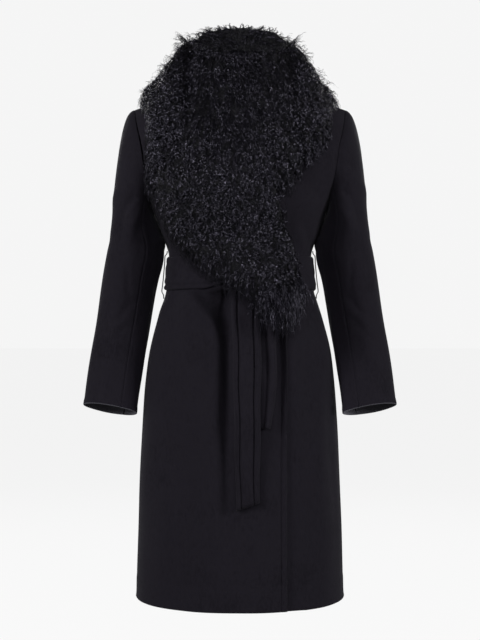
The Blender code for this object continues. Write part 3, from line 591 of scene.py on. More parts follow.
# %% Creases of the front
FRONT_CREASES = metres((
    # x and z where it starts, x and z where it ends, height, half width
    (-118, -412, -127, -520, -3, 7.5),
    (-104, -412, -100, -485, 2.4, 7),
    (-136, -412, -152, -470, 2.2, 6),
    (-100, -409, -38, -474, 3, 7.5),
    (-73, -404, -52, -438, -4.2, 7.5),
    (-27, -398, -25, -500, -5.8, 16.5),
    (-24, -424, -22.5, -700, -3, 6),
    (78.5, -412, 77.5, -600, -3.2, 4.5),
    (83.8, -420, 83.8, -1003, 1.4, 3.2),
    (-160, -500, -172, -960, 2.2, 20),
    (-108, -560, -118, -1003, -1.8, 24),
    (-72, -600, -74, -1003, 1.5, 18),
    (118, -412, 124, -476, -3.4, 5),
    (131, -412, 142, -498, -3, 5),
    (125, -413, 134, -470, 1.8, 4),
    (104, -414, 107, -640, 3, 11),
    (126, -540, 132, -1003, -2.6, 13),
    (150, -520, 158, -1003, 2.6, 15),
    (171, -560, 180, -990, -2.2, 9),
    (0, -840, -6, -1003, 1.4, 26),
    (-150, -335, -122, -262, -2.4, 7),
    (-134, -335, -112, -280, 2, 6),
    (-118, -335, -104, -292, -1.8, 5),
    (139, -334, 120, -268, -2.6, 6.5),
    (124, -334, 110, -284, 1.8, 5.5),
    (166, -236, 112, -200, -2.2, 9),
    (160, -256, 118, -238, 1.8, 8),
    (-166, -236, -120, -206, -2.2, 9),
))
print("creases in front:", len(FRONT_CREASES))

# %% [markdown]
# The photograph doesn't show the back. Its creases follow from how such a coat hangs: they fan out at the belt, and
# two soft ones run in towards the armholes.

# %% Creases of the back
BACK_CREASES = metres((
    # x and z where it starts, x and z where it ends, height, half width
    (20, -412, 28, -560, -3, 8),
    (0, -411, -2, -492, 2.6, 7),
    (-26, -412, -34, -600, -2.8, 9),
    (84, -412, 98, -540, 3, 9),
    (112, -413, 122, -480, -2.4, 6),
    (-88, -412, -96, -520, 2.6, 8),
    (-116, -412, -132, -500, -2.6, 7),
    (140, -520, 152, -1003, -2.2, 20),
    (-130, -560, -150, -990, 2.4, 23),
    (30, -640, 26, -1003, 2, 25),
    (-28, -700, -20, -1003, -1.8, 22),
    (40, -334, 58, -262, -3, 7.5),
    (16, -334, 20, -250, 2.6, 7),
    (-12, -334, -16, -272, -2.4, 6),
    (-46, -334, -66, -244, -3, 8),
    (-78, -334, -98, -276, 2.4, 7),
    (86, -334, 108, -268, 2.6, 7.5),
    (150, -232, 100, -190, -2.6, 10),
    (-152, -226, -94, -200, -2.4, 10),
))
print("creases behind:", len(BACK_CREASES))

# %% [markdown]
# A crease is a line that bows a little, with a bell curve across it. It starts quickly and runs out slowly, as a crease
# does that is drawn in at one end. The height is worked out for a whole grid at once.

# %% Height of the creases
def creased(u, z, rows):
    """Height of all the creases of a table, at places u across and z up."""
    total = np.zeros_like(u)
    for u0, z0, u1, z1, height, width in rows:
        way = np.array((u1 - u0, z1 - z0))
        length = float(np.linalg.norm(way))
        way /= length
        along = ((u - u0) * way[0] + (z - z0) * way[1]) / length
        bow = 0.7 * width * np.sin(along * 4.2 + 700 * height)
        aside = (u - u0) * way[1] - (z - z0) * way[0] + bow
        start = rising(along, -0.10, 0.16)
        end = rising(along, 1.15, -0.55)
        start, end = start * start * (3 - 2 * start), end * end * (3 - 2 * end)
        total += height * np.exp(-(aside / width) ** 2) * start * end
    return total


def sway(u, z):
    """Faint broad waves that no cloth is without."""
    return 0.0007 * np.sin(u * 61 + 1.9 * np.sin(z * 9)) + 0.0005 * np.sin(z * 34 + u * 23 + 1.1)


print("waves at one place in millimetres:", round(float(sway(0.1, -0.7)) * 1000, 2))

# %% [markdown]
# Where two panels are sewn together their edges must still meet, so the creases fade out towards a seam, counted in
# steps of the grid. The hem is free and keeps its waves.

# %% Creasing the panels
FADE_STEPS = 6
UNDER_BELT = (-0.412, -0.334)


def inward(used):
    """0 at the sewn edges of a panel and 1 six steps inside them; the hem doesn't count as an edge."""
    depth = np.zeros(used.shape)
    left = used.copy()
    for _ in range(FADE_STEPS):
        depth += left / FADE_STEPS
        edged = np.pad(left, ((0, 1), (1, 1)))
        edged = np.vstack((edged[:1], edged))
        left = (edged[1:-1, 1:-1] & edged[:-2, 1:-1] & edged[2:, 1:-1] & edged[1:-1, :-2] & edged[1:-1, 2:])
    return depth


def crease_panel(points, normals, used, rows):
    """A panel with its creases; under the belt it is pressed flat."""
    x, z = points[:, :, 0], points[:, :, 2]
    height = creased(x, z, rows) + sway(x, z)
    belt = (z > UNDER_BELT[0]) & (z < UNDER_BELT[1])
    height[belt] = np.minimum(height[belt], 0.0) * 0.4
    return points + normals * (height * inward(used))[:, :, None]


front_plain, back_plain = front, back
front = crease_panel(front_plain, front_normals, front_used, FRONT_CREASES)
back = crease_panel(back_plain, back_normals, back_used, BACK_CREASES)
print("deepest crease in millimetres:", round(float(np.abs(front - front_plain).max()) * 1000, 1))

# %% [markdown]
# ## Looks
# A material is a small network of nodes. Wool and fleece need the same few parts: noise, a blend of two noises, a ramp
# that turns a number into a colour, and a bump for a relief too fine to model. Each part is a function that adds its
# node, links it and gives back the socket to go on from.

# %% Parts of a material
def new_material(name):
    """A new node material, with its nodes, its links and its shader."""
    made = bpy.data.materials.new(name)
    made.use_nodes = True
    return made, made.node_tree.nodes, made.node_tree.links, made.node_tree.nodes["Principled BSDF"]


def noise(nodes, links, source, scale, detail, stretch=(1.0, 1.0, 1.0)):
    """A noise texture on stretched object coordinates; gives back its socket."""
    mapping = nodes.new("ShaderNodeMapping")
    dial(mapping, {"Scale": stretch})
    links.new(source, mapping.inputs["Vector"])
    texture = nodes.new("ShaderNodeTexNoise")
    dial(texture, {"Scale": scale, "Detail": detail, "Roughness": 0.6})
    links.new(mapping.outputs["Vector"], texture.inputs["Vector"])
    return texture.outputs["Fac"]


def mixed(nodes, links, first, second, share):
    """Two sockets blended by a share."""
    blend = nodes.new("ShaderNodeMix")
    blend.data_type = "FLOAT"
    dial(blend, {"Factor": share})
    links.new(first, blend.inputs["A"])
    links.new(second, blend.inputs["B"])
    return blend.outputs["Result"]


def ramp(nodes, links, source, stops):
    """A colour ramp from a list of places and colours."""
    made = nodes.new("ShaderNodeValToRGB")
    for element, (place, colour) in zip(made.color_ramp.elements, (stops[0], stops[-1])):
        element.position, element.color = place, (*colour, 1.0)
    for place, colour in stops[1:-1]:
        made.color_ramp.elements.new(place).color = (*colour, 1.0)
    links.new(source, made.inputs["Fac"])
    return made.outputs["Color"]


def bump(nodes, links, height, strength, distance, under=None):
    """A bump node over an optional one below it."""
    made = nodes.new("ShaderNodeBump")
    dial(made, {"Strength": strength, "Distance": distance})
    links.new(height, made.inputs["Height"])
    if under is not None:
        links.new(under, made.inputs["Normal"])
    return made.outputs["Normal"]


def ranged(nodes, links, source, low, high):
    """A socket that goes from 0 to 1, brought between two other limits."""
    made = nodes.new("ShaderNodeMapRange")
    dial(made, {"To Min": low, "To Max": high})
    links.new(source, made.inputs["Value"])
    return made.outputs["Result"]


print("materials so far:", [m.name for m in bpy.data.materials])

# %% [markdown]
# The wool is felted and brushed: there is hardly a weave to see, only a short nap that scatters light. Three
# things make it: a nearly black colour that varies a little, a rough surface with a fine bump along the nap, and sheen,
# which is the pale rim that fibres give where the cloth turns away. A paler copy of the wool is painted light inside
# the sleeves. The sleeves' side next to the body, which lies in shade, is painted lighter too, and the material reads
# how much from an attribute of the mesh.

# %% Black wool
def wool_material(name, dark, light):
    """Brushed coat wool between a dark and a light tone, with painted light where an attribute of the mesh raises it.
    """
    made, nodes, links, shader = new_material(name)
    place = nodes.new("ShaderNodeTexCoord").outputs["Object"]
    cloud = noise(nodes, links, place, 9.0, 3.0)
    fleck = noise(nodes, links, place, 260.0, 4.0, (1.0, 1.0, 0.4))
    nap = noise(nodes, links, place, 900.0, 3.0, (1.0, 1.0, 0.35))
    felt = noise(nodes, links, place, 120.0, 5.0)
    tone = mixed(nodes, links, cloud, fleck, 0.55)
    # painted light: an attribute of the mesh raises the base colour on the sleeves' side next to the body, where it
    # lies in shade
    painted_light = nodes.new("ShaderNodeAttribute")
    painted_light.attribute_name = "painted_light"
    paler = nodes.new("ShaderNodeMath")
    links.new(painted_light.outputs["Fac"], paler.inputs[0])
    paler.inputs[1].default_value = 1.0
    scaled = nodes.new("ShaderNodeVectorMath")
    scaled.operation = "SCALE"
    links.new(ramp(nodes, links, tone, ((0.32, dark), (0.50, light), (0.70, dark))), scaled.inputs["Vector"])
    links.new(paler.outputs["Value"], scaled.inputs["Scale"])
    links.new(scaled.outputs["Vector"], shader.inputs["Base Color"])
    links.new(ranged(nodes, links, felt, 0.78, 1.0), shader.inputs["Roughness"])
    fine = bump(nodes, links, nap, 0.55, 0.0007)
    links.new(bump(nodes, links, felt, 0.35, 0.0012, fine), shader.inputs["Normal"])
    dial(shader, {"Specular IOR Level": 0.025, "Sheen Weight": 0.012, "Sheen Roughness": 0.42,
                  "Sheen Tint": (0.80, 0.80, 0.88, 1.0)})
    return made


wool = wool_material("black_wool", (0.0017, 0.0014, 0.0022), (0.0030, 0.0026, 0.0038))
# a lighter copy of the wool: painted light inside the sleeves, and a painted highlight on the turned rim of the cuffs
wool_painted_light = wool_material("wool_painted_light", (0.0150, 0.0145, 0.0175), (0.0210, 0.0205, 0.0240))
print("materials:", [m.name for m in bpy.data.materials])

# %% [markdown]
# ## Cloth with a thickness
# Coat wool is a good two millimetres thick, and its edges are turned in and pressed, so no edge is sharp. The shell
# below has an outer and an inner layer, and a small round lip between them. Where two lips meet, they leave the fine
# groove that a pressed seam has.

# %% Edge of a sheet
LIP = (
    # share of the thickness, how far the edge is held back there
    (0.0, 0.42), (0.20, 0.12), (0.50, 0.0), (0.80, 0.12), (1.0, 0.42),
)


def make_object(name, vertices, faces, look):
    """A smooth-shaded piece from points and faces."""
    mesh = bpy.data.meshes.new(name)
    mesh.from_pydata([tuple(v) for v in vertices], [], [tuple(f) for f in faces])
    mesh.validate()
    mesh.shade_smooth()
    mesh.materials.append(look)
    made = bpy.data.objects.new(name, mesh)
    scene.collection.objects.link(made)
    return made


def lip_ways(points, edges):
    """Direction out of the panel at each point of its edge."""
    ways = {}
    for (here, there), centre in edges.items():
        out = (points[here] + points[there]) / 2 - centre
        for spot in (here, there):
            ways[spot] = ways.get(spot, 0.0) + out / np.linalg.norm(out)
    return {spot: way / np.linalg.norm(way) for spot, way in ways.items()}


def facing_out(piece):
    """Turns all faces of a closed piece outward."""
    solid = bmesh.new()
    solid.from_mesh(piece.data)
    bmesh.ops.recalc_face_normals(solid, faces=solid.faces)
    solid.to_mesh(piece.data)
    solid.free()


print("levels of the lip:", len(LIP))

# %% [markdown]
# A grid of points becomes faces cell by cell. An edge that only one cell has is an edge of the panel and gets the lip.
# Points are made the first time they are asked for, so neighbouring faces share them and the sheet is closed.

# %% Shell of a panel
def cell_rings(used):
    """The four grid places round each cell that is in use."""
    rows, columns = used.shape
    return [((i, j), (i, j + 1), (i + 1, j + 1), (i + 1, j)) for i in range(rows - 1) for j in range(columns - 1)
            if used[i:i + 2, j:j + 2].all()]


def shell(name, outer, inner, look, used=None, inside=None, painted_light=None):
    """A closed sheet of cloth between two grids of points, with a round lip along its edges.

    A look for the inside also covers the lip of the last row, where the cloth is turned in; for the sleeves it is a
    lighter copy of the wool with painted light. Painted light on the outside can be given for each point of the grid.
    """
    rings = cell_rings(np.ones(outer.shape[:2], bool) if used is None else used)
    edges = {}
    for ring in rings:
        centre = sum(outer[a] for a in ring) / 4
        for here, there in zip(ring, ring[1:] + ring[:1]):
            if (there, here) in edges:
                del edges[there, here]
            else:
                edges[here, there] = centre
    ways = lip_ways(outer, edges)
    vertices, painted_light_values, index = [], [], {}

    def spot(a, level):
        """Number of the point at a place of the grid and a level of the lip."""
        key = (a, level)
        if key not in index:
            index[key] = len(vertices)
            depth, back_off = LIP[level]
            point = outer[a] + (inner[a] - outer[a]) * depth
            if a in ways:
                point = point - ways[a] * (back_off * np.linalg.norm(inner[a] - outer[a]))
            vertices.append(point)
            painted_light_values.append(0.0 if painted_light is None else painted_light[a])
        return index[key]

    faces, looks = [], []
    last = len(LIP) - 1
    for ring in rings:
        faces.append([spot(a, 0) for a in ring])
        faces.append([spot(a, last) for a in reversed(ring)])
        looks += [0, 1]
    for here, there in edges:
        for level in range(last):
            faces.append([spot(here, level), spot(here, level + 1), spot(there, level + 1), spot(there, level)])
            # the lip of the last row takes the look of the inside: at the cuffs a painted highlight on the turned rim
            looks.append(int(here[0] == there[0] == len(outer) - 1))
    made = make_object(name, vertices, faces, look)
    # painted light for each point, kept as an attribute of the mesh
    if painted_light is not None:
        made.data.attributes.new("painted_light", "FLOAT", "POINT").data.foreach_set("value", painted_light_values)
    if inside is not None:
        made.data.materials.append(inside)
        made.data.polygons.foreach_set("material_index", looks)
    facing_out(made)
    return made


print("cells of the front in use:", len(cell_rings(front_used)))

# %% [markdown]
# Each piece of cloth prints its area, which is measured as the sum of the cells of its grid.

# %% Area of a sheet
def cell_areas(points):
    """Area of each cell of a grid of points."""
    return np.linalg.norm(np.cross(points[1:, :-1] - points[:-1, :-1], points[:-1, 1:] - points[:-1, :-1]), axis=2)


def flat_area(points, used=None):
    """Area of a grid of points, for stating how much cloth it takes."""
    areas = cell_areas(points)
    if used is not None:
        areas = areas * (used[1:, :-1] & used[:-1, 1:] & used[:-1, :-1] & used[1:, 1:])
    return float(areas.sum())


print("area of the front in square metres:", round(flat_area(front, front_used), 3))

# %% [markdown]
# ## Fronts and back
# The right front lies over the left one, as the belt of a wrap coat holds it. Its edge has a line of stitching a
# centimetre in, which shows as a narrow groove with a raised strip beside it. The hem and the edge are turned in, so
# the cloth is a little thicker there.

# %% Turned edge and hem
STITCH_X = 0.0764
HEM_TOP, HEM_FOLD = -0.960, -0.994


def turned_edge(points):
    """Extra height by the front edge: a raised strip, and the groove of its stitching."""
    x, z = points[:, :, 0], points[:, :, 2]
    strip = 0.0011 * rising(x, STITCH_X, 0.0030)
    groove = -0.0013 * np.exp(-((x - STITCH_X) / 0.0011) ** 2)
    return (strip + groove) * (z < CHEST_Z)


def hem_height(points):
    """Extra height of the turned-up hem, 40 mm deep."""
    z = points[:, :, 2]
    return 0.0007 * rising(z, HEM_TOP, -0.006) + 0.0010 * rising(z, HEM_FOLD, -0.008)


print("hem in millimetres:", round(float(hem_height(front).max()) * 1000, 1))

# %% [markdown]
# Both fronts are cut from one grid, so they match where one lies on the other. The right front takes the columns from
# its side seam to the front edge.

# %% Right front
START = len(SIDE_SHARES)
EDGE = START + len(FRONT_X) - 1
raised = (hem_height(front) + turned_edge(front))[:, :, None]
right_outer = (front + front_normals * raised)[:, :EDGE + 1]
right_inner = (front - front_normals * CLOTH)[:, :EDGE + 1]
front_right = shell("front_right_cloth", right_outer, right_inner, wool, front_used[:, :EDGE + 1])
print("points of the right front:", len(front_right.data.vertices))

# %% [markdown]
# The left front lies one thickness of cloth lower where the right one covers it, and comes up beside the edge in three
# small steps, as thick wool does.

# %% Left front
COMES_UP = (0.0030, 0.0022, 0.0010)

tuck = np.zeros(front.shape[1])
tuck[:EDGE + 1] = CLOTH + LAYER_GAP
tuck[EDGE + 1:EDGE + 1 + len(COMES_UP)] = COMES_UP
left_outer = (front + front_normals * (hem_height(front) * (tuck == 0) - tuck)[:, :, None])[:, START:]
left_inner = left_outer - front_normals[:, START:] * CLOTH
front_left = shell("front_left_cloth", left_outer, left_inner, wool, front_used[:, START:])
print("points of the left front:", len(front_left.data.vertices))

# %% [markdown]
# The back is one panel. The photograph doesn't show it, so it gets the same kind of folds and nothing else. Then each
# panel is hung on the coat in place of its solid, which is hidden, and the area of its outside is printed.

# %% Back panel
back_outer = back + back_normals * hem_height(back)[:, :, None]
back_piece = shell("back_cloth", back_outer, back - back_normals * CLOTH, wool, back_used)

for piece, node, flat, points, used in (
        (front_right, "front_right", (0.42, 1.05), right_outer, front_used[:, :EDGE + 1]),
        (front_left, "front_left", (0.42, 1.05), left_outer, front_used[:, START:]),
        (back_piece, "back", (0.56, 1.06), back_outer, back_used)):
    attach(piece, "root")
    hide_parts(node)
    print(piece.name, "area of the outside:", round(flat_area(points, used), 3))

# %% [markdown]
# ## Sleeves
# A two-piece sleeve hangs forward a little, as a relaxed arm does. Its rings are ellipses along a bent line. Each ring
# stands square to that line; only close to both ends its tilt is fixed, so the cuff is cut straight.

# %% Rings of a sleeve
CAP_LEVEL = -0.30
CUFF_LEVEL = -0.614


def sleeve_frame(z):
    """Centre and the two cross directions of a sleeve ring."""
    x, y, half, depth = sample(SLEEVE, z)
    above = sample(SLEEVE, z + 0.02)
    below = sample(SLEEVE, z - 0.02)
    way = np.array((below[0] - above[0], below[1] - above[1], -0.04))
    if z > CAP_LEVEL:
        way = np.array((0.004, 0.0, -0.04))
    if z < CUFF_LEVEL:
        way = np.array((0.0052, -0.0122, -0.04))
    way /= np.linalg.norm(way)
    wide = np.array((1.0, 0.0, 0.0))
    wide -= way * np.dot(wide, way)
    wide /= np.linalg.norm(wide)
    ahead = np.cross(way, wide)
    ahead *= -math.copysign(1.0, ahead[1])
    return np.array((x, y, z)), wide * half, ahead * depth


print("middle of the cuff:", sleeve_frame(SLEEVE_END)[0].round(3))

# %% [markdown]
# The cap blends from the armhole to the first ring with one curve for each column: full at the shoulder, flat under
# the arm. There the cloth isn't held by anything and falls in against the body's side, so no light shows between.

# %% Points of a sleeve
def body_side(y, z):
    """Half width of the body at a depth and a height."""
    half, ahead, behind, roundness = sample(BODY, z)
    share = min(abs(y) / (ahead if y < 0 else behind), 1.0)
    return half * (1 - share**roundness) ** (1 / roundness)


def sleeve_point(turn, run):
    """Point of the sleeve; under the arm its cloth falls in against the body's side."""
    point = sleeve_plain(turn, run)
    level = sleeve_plain(180.0, run)[2]
    near = ease(62.0, 22.0, abs(turn % 360 - 192)) * ease(-0.326, -0.312, level) * ease(-0.250, -0.278, level)
    gap = point[0] - body_side(point[1], point[2]) - UNDERARM_GAP
    point[0] -= UNDERARM_FALL * (1 - math.exp(-max(gap, 0.0) / UNDERARM_FALL)) * near
    return point


def sleeve_plain(turn, run):
    """Point of the plain sleeve; run goes 0 to 1 over the cap, then by rings down to the cuff."""
    angle = math.radians(turn)
    if run >= 1:
        centre, wide, ahead = sleeve_frame(SLEEVE_TOP + (SLEEVE_END - SLEEVE_TOP) * (run - 1))
        return centre + wide * math.cos(angle) + ahead * math.sin(angle)
    centre, wide, ahead = sleeve_frame(SLEEVE_TOP)
    ring = centre + wide * math.cos(angle) + ahead * math.sin(angle)
    hole = sample(ARMHOLE, turn % 360) + np.array((0.0008, 0.0, 0.0))
    out = 0.5 + 0.5 * math.cos(angle)
    drop = hole[2] - ring[2]
    start_way = np.array((0.098 * out**1.5, -0.02 * math.sin(angle), -0.016 * out))
    start_way[2] -= drop * 0.9 * (1 - out)
    end_way = np.array((0.165 * math.cos(angle) - 0.035, 0.18 * math.sin(angle), -1.1)) * drop
    return hermite(hole, ring, start_way, end_way, run)


print("top of the sleeve's cap:", sleeve_point(0.0, 0.0).round(3))

# %% [markdown]
# The direction out of the sleeve comes from four points close round a place, and the middle of the sleeve tells which
# of both ways is out.

# %% Directions out of a sleeve
def sleeve_normal(turn, run):
    """Direction straight out of the sleeve at a point."""
    step = 0.02
    a = sleeve_point(turn - 3, run)
    b = sleeve_point(turn + 3, run)
    c = sleeve_point(turn, max(run - step, 0.0))
    d = sleeve_point(turn, min(run + step, 2.0))
    normal = np.cross(b - a, d - c)
    normal /= np.linalg.norm(normal)
    point = sleeve_point(turn, run)
    centre = np.array((0.2, 0.0, min(-0.15, point[2])))
    if run >= 1:
        centre = sleeve_frame(SLEEVE_TOP + (SLEEVE_END - SLEEVE_TOP) * (run - 1))[0]
    if np.dot(normal, point - centre) < 0:
        normal = -normal
    return normal


print("out of the shoulder tip:", sleeve_normal(0.0, 0.0).round(2))

# %% [markdown]
# A sleeve creases where the arm bends and where it is pulled at the armhole. Arc lengths in the table are counted from
# the top of the sleeve, forward first.

# %% Creases of the sleeves
SLEEVE_CREASES = metres((
    # arc and z where it starts, arc and z where it ends, height, half width
    (86, -215, 50, -286, -4.5, 8.5),
    (104, -236, 74, -318, 3, 8),
    (112, -262, 90, -350, -3, 6.5),
    (60, -190, 20, -236, 2.4, 12),
    (104, -418, 70, -452, -3.2, 5.5),
    (110, -436, 66, -478, 2.4, 6),
    (96, -470, 60, -500, -2.4, 5),
    (80, -345, 88, -420, -2.2, 3.5),
    (66, -470, 74, -625, 1.6, 13),
    (30, -330, 34, -600, 1.6, 18),
    (-6, -140, -2, -330, -1.4, 16),
    (-50, -330, -46, -520, -1.8, 15),
    (-86, -220, -60, -300, -3.6, 9),
    (-100, -250, -82, -330, 2.6, 8),
    (-98, -400, -64, -430, -2.6, 5.5),
    (-102, -455, -70, -490, -2.4, 6),
    (150, -300, 146, -420, -2.4, 8),
    (170, -280, 168, -390, 2, 9),
    (158, -440, 162, -560, -1.8, 10),
))
print("creases of a sleeve:", len(SLEEVE_CREASES))

# %% [markdown]
# The wide upper piece and the narrow one under the arm meet in two seams. Their grids share the rows and end on the
# same two columns, each set back by a hair so that the lips leave the groove of a seam.

# %% Grid of the sleeves
FRONT_SEAM, BACK_SEAM = 478.0, 243.0
FINE_CAP = parted((0.0, 0.12, 0.27, 0.45, 0.64, 0.82, 1.0), 5)
FINE_RUNS = FINE_CAP + [1 + (i + 1) / 52 for i in range(52)]
UPPER_TURNS = parted([BACK_SEAM + i * (FRONT_SEAM - BACK_SEAM) / 11 for i in range(12)], 4)
UNDER_TURNS = parted((FRONT_SEAM - 360, 138.0, 159.0, 180.0, 201.0, 222.0, BACK_SEAM), 4)
SLEEVE_RADIUS = 0.053
TRIM = -0.35
print("grid of an upper sleeve:", len(FINE_RUNS), "by", len(UPPER_TURNS))

# %% [markdown]
# The cuff is a turned edge, so it is a little thicker, and it hangs some millimetres lower on the side next to the
# body. That side lies in the body's shade and is painted lighter: the painted light fades away round the arm, and goes
# into the mesh as a number for each point.

# %% Pieces of a sleeve
CUFF_DROP = 0.0045
CAP_EASE = 0.0011
# how much the painted light brightens the side next to the body, at its most
PAINTED_LIGHT = 1.9


def round_the_arm(turns):
    """Arc lengths of the columns from the top of the sleeve; behind, they count backwards."""
    ahead = np.array([math.radians((t + 180) % 360 - 180) * SLEEVE_RADIUS for t in turns])
    onward = np.array(turns) % 360
    return np.where(onward > BACK_SEAM, ahead, np.radians(onward) * SLEEVE_RADIUS)


def sleeve_sheet(turns, shift):
    """Outer points, inner points and painted light of one piece of the wearer's left sleeve."""
    turns = [turns[0] + TRIM] + list(turns[1:-1]) + [turns[-1] - TRIM]
    outer = np.array([[sleeve_point(t, run) for t in turns] for run in FINE_RUNS])
    normals = np.array([[sleeve_normal(t, run) for t in turns] for run in FINE_RUNS])
    arc = np.broadcast_to(round_the_arm(turns), outer.shape[:2])
    z = outer[:, :, 2] + shift
    used = np.ones(outer.shape[:2], bool)
    fade = inward(used[::-1])[::-1]
    height = (creased(arc, z, SLEEVE_CREASES) + sway(arc * 1.4 + shift, z)) * fade
    outer[:, :, 0] -= np.clip(1 - np.arange(len(FINE_RUNS)) / 6, 0, 1)[:, None] * CAP_EASE
    low = np.clip(1 - (outer[:, :, 2] - outer[-1, :, 2]) / 0.030, 0, 1)
    outer[:, :, 2] -= low * CUFF_DROP * (0.5 + 0.5 * np.cos(np.radians(np.array(turns) - 150)))
    cuff = 0.0009 * np.clip((0.012 - (outer[:, :, 2] - outer[-1, :, 2])) / 0.004, 0, 1)
    # painted light on the side next to the body, which lies in its shade, fading away round the arm
    towards_body = (np.array(turns) - 188 + 180) % 360 - 180
    painted_light = np.broadcast_to(PAINTED_LIGHT * np.exp(-(towards_body / 42) ** 2), height.shape)
    return outer + normals * (height + cuff)[:, :, None], outer + normals * (height - CLOTH)[:, :, None], painted_light


print("arc lengths of the seams:", round_the_arm([BACK_SEAM, FRONT_SEAM]).round(3))

# %% [markdown]
# The left sleeve is worked out, and the right one is its mirror image. Its creases are moved up a little, because two
# sleeves never crease alike.

# %% Sleeves
for side, sign, shift in (("left", 1.0, 0.0), ("right", -1.0, 0.013)):
    for part, turns, width in (("upper", UPPER_TURNS, 0.36), ("under", UNDER_TURNS, 0.18)):
        outer, inner, painted_light = sleeve_sheet(turns, shift)
        mirror = np.array((sign, 1.0, 1.0))
        node = "sleeve_%s_%s" % (side, part)
        # the inside gets the lighter copy of the wool with painted light, and the side next to the body gets painted
        # light for each point
        piece = shell(node + "_cloth", outer * mirror, inner * mirror, wool, inside=wool_painted_light, painted_light=painted_light)
        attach(piece, "root")
        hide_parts(node)

# %% [markdown]
# ## Belt
# The belt is a long strip of the same wool, folded and pressed, so it is thicker than the coat and has round edges.
# Its sections are taken along the columns of the coat underneath, so it follows the waist exactly. Close to the knot
# it is pulled narrower, and the pull gathers it in ridges that point at the knot.

# %% Sections of the belt
BELT_LOW, BELT_TOP = BELT_ROWS[0], BELT_ROWS[-1]
BAND_POINTS = 25
BAND_CREASES = (
    # height across the belt from 0 below to 1 above, height, half width, reach along the belt
    (0.05, 0.0010, 0.035, 7.0),
    (0.14, -0.0028, 0.045, 9.0),
    (0.22, 0.0008, 0.060, 31.0),
    (0.42, -0.0008, 0.070, 17.0),
    (0.60, 0.0007, 0.090, 23.0),
    (0.80, -0.0007, 0.050, 13.0),
)


def at_height(points, ways, z):
    """Point and direction of a column of the coat at a height."""
    spot = np.array([np.interp(z, points[:, 2], points[:, axis]) for axis in (0, 1)] + [z])
    way = np.array([np.interp(z, points[:, 2], ways[:, axis]) for axis in range(3)])
    return spot, way / np.linalg.norm(way)


def band_section(points, ways, arc):
    """A closed section of the belt over one column of the coat."""
    x = points[len(points) // 2, 0]
    front_side = points[0, 1] < 0
    near = ease(0.085, 0.030, abs(x - KNOT_X)) if front_side else 0.0
    low = BELT_LOW + 0.0108 * near + 0.0007 * math.sin(arc * 41)
    top = BELT_TOP - 0.0060 * near + 0.0008 * math.sin(arc * 33 + 1.0)
    outside, inside = [], []
    for i in range(BAND_POINTS):
        share = i / (BAND_POINTS - 1)
        spot, way = at_height(points, ways, low + (top - low) * share)
        edge = (1 - abs(2 * share - 1) ** 9) ** 0.5
        height = BELT_THICK * (0.22 + 0.80 * edge + 0.16 * (1 - share))
        for place, deep, width, reach in BAND_CREASES:
            drift = place + 0.05 * math.sin(arc * reach + 80 * place)
            height += deep * math.exp(-((share - drift) / width) ** 2) * (0.65 + 0.35 * math.sin(arc * reach * 0.7))
        height += near * edge * 0.0013 * math.sin(share * 19 + abs(x - KNOT_X) * 40)
        outside.append(spot + way * (BELT_GAP + height))
        inside.append(spot + way * BELT_GAP)
    return inside[::-1] + outside


print("creases along the belt:", len(BAND_CREASES))

# %% [markdown]
# The band starts behind the knot, runs round the coat and ends behind the knot again. So its sections are taken along
# the columns of the front, the back and the front once more, and their distances add up to its length.

# %% Run of the belt
KNOT_REACH = 0.024
belt_from, belt_until = (int(np.searchsorted(front_plain[10, :, 0], KNOT_X + side * KNOT_REACH)) for side in (1, -1))
waist = [SKIRT_ROWS.index(row) for row in (BELT_LOW, BELT_TOP)]
span = slice(waist[0] - 3, waist[1] + 4)
columns = [(front_plain[span, j], front_normals[span, j]) for j in range(belt_until - 1, 0, -1)]
columns += [(back_plain[span, j], back_normals[span, j]) for j in range(back_plain.shape[1])]
columns += [(front_plain[span, j], front_normals[span, j]) for j in range(front_plain.shape[1] - 2, belt_from - 1, -1)]
arc = 0.0
band = []
for k, (points, ways) in enumerate(columns):
    if k:
        arc += float(np.linalg.norm(points[3] - columns[k - 1][0][3]))
    band.append(band_section(points, ways, arc))
print("length of the belt round the waist:", round(arc, 3))

# %% [markdown]
# A loft joins a run of closed sections into one solid. The belt, its knot, its ends, its loops and later the pelt of
# the collar are all lofts, which differ only in their sections. Smaller sections at both ends round them off.

# %% Loft
def loft(name, sections, look):
    """A closed piece through a run of closed sections with the same number of points."""
    sections = np.array(sections)
    count, size = sections.shape[:2]
    faces = []
    for k in range(count - 1):
        for m in range(size):
            n = (m + 1) % size
            faces.append((k * size + m, k * size + n, (k + 1) * size + n, (k + 1) * size + m))
    faces.append(tuple(range(size)))
    faces.append(tuple((count - 1) * size + m for m in range(size)))
    made = make_object(name, sections.reshape(-1, 3), faces, look)
    facing_out(made)
    return made


def wool_piece(piece, node):
    """Hangs a piece of folded wool on the coat in place of its solid, which it hides, and prints its points."""
    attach(piece, "root")
    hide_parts(node)
    print(piece.name, "points:", len(piece.data.vertices))


def tidy_ends(sections):
    """Sections with two smaller ones added at both ends, so that the ends are round."""
    sections = [np.array(s) for s in sections]
    ends = []
    for end, inner in ((sections[0], sections[1]), (sections[-1], sections[-2])):
        middle = end.mean(axis=0)
        out = (end - inner).mean(axis=0)
        out /= np.linalg.norm(out)
        ends.append([middle + (end - middle) * 0.78 + out * 0.0011, middle + (end - middle) * 0.45 + out * 0.0016])
    return ends[0][::-1] + sections + ends[1]


belt_band = loft("belt_band_cloth", tidy_ends(band), wool)
wool_piece(belt_band, "belt_band")

# %% [markdown]
# The knot is a flat wrap over the band. The collar hides it from the front, so it only needs the swell and the deep
# grooves that show from the side and from below.

# %% Knot
KNOT_HALF_WIDTH, KNOT_HALF_HEIGHT = 0.0275, 0.0365
KNOT_THICK = 0.026
KNOT_ROWS, KNOT_POINTS = 41, 56


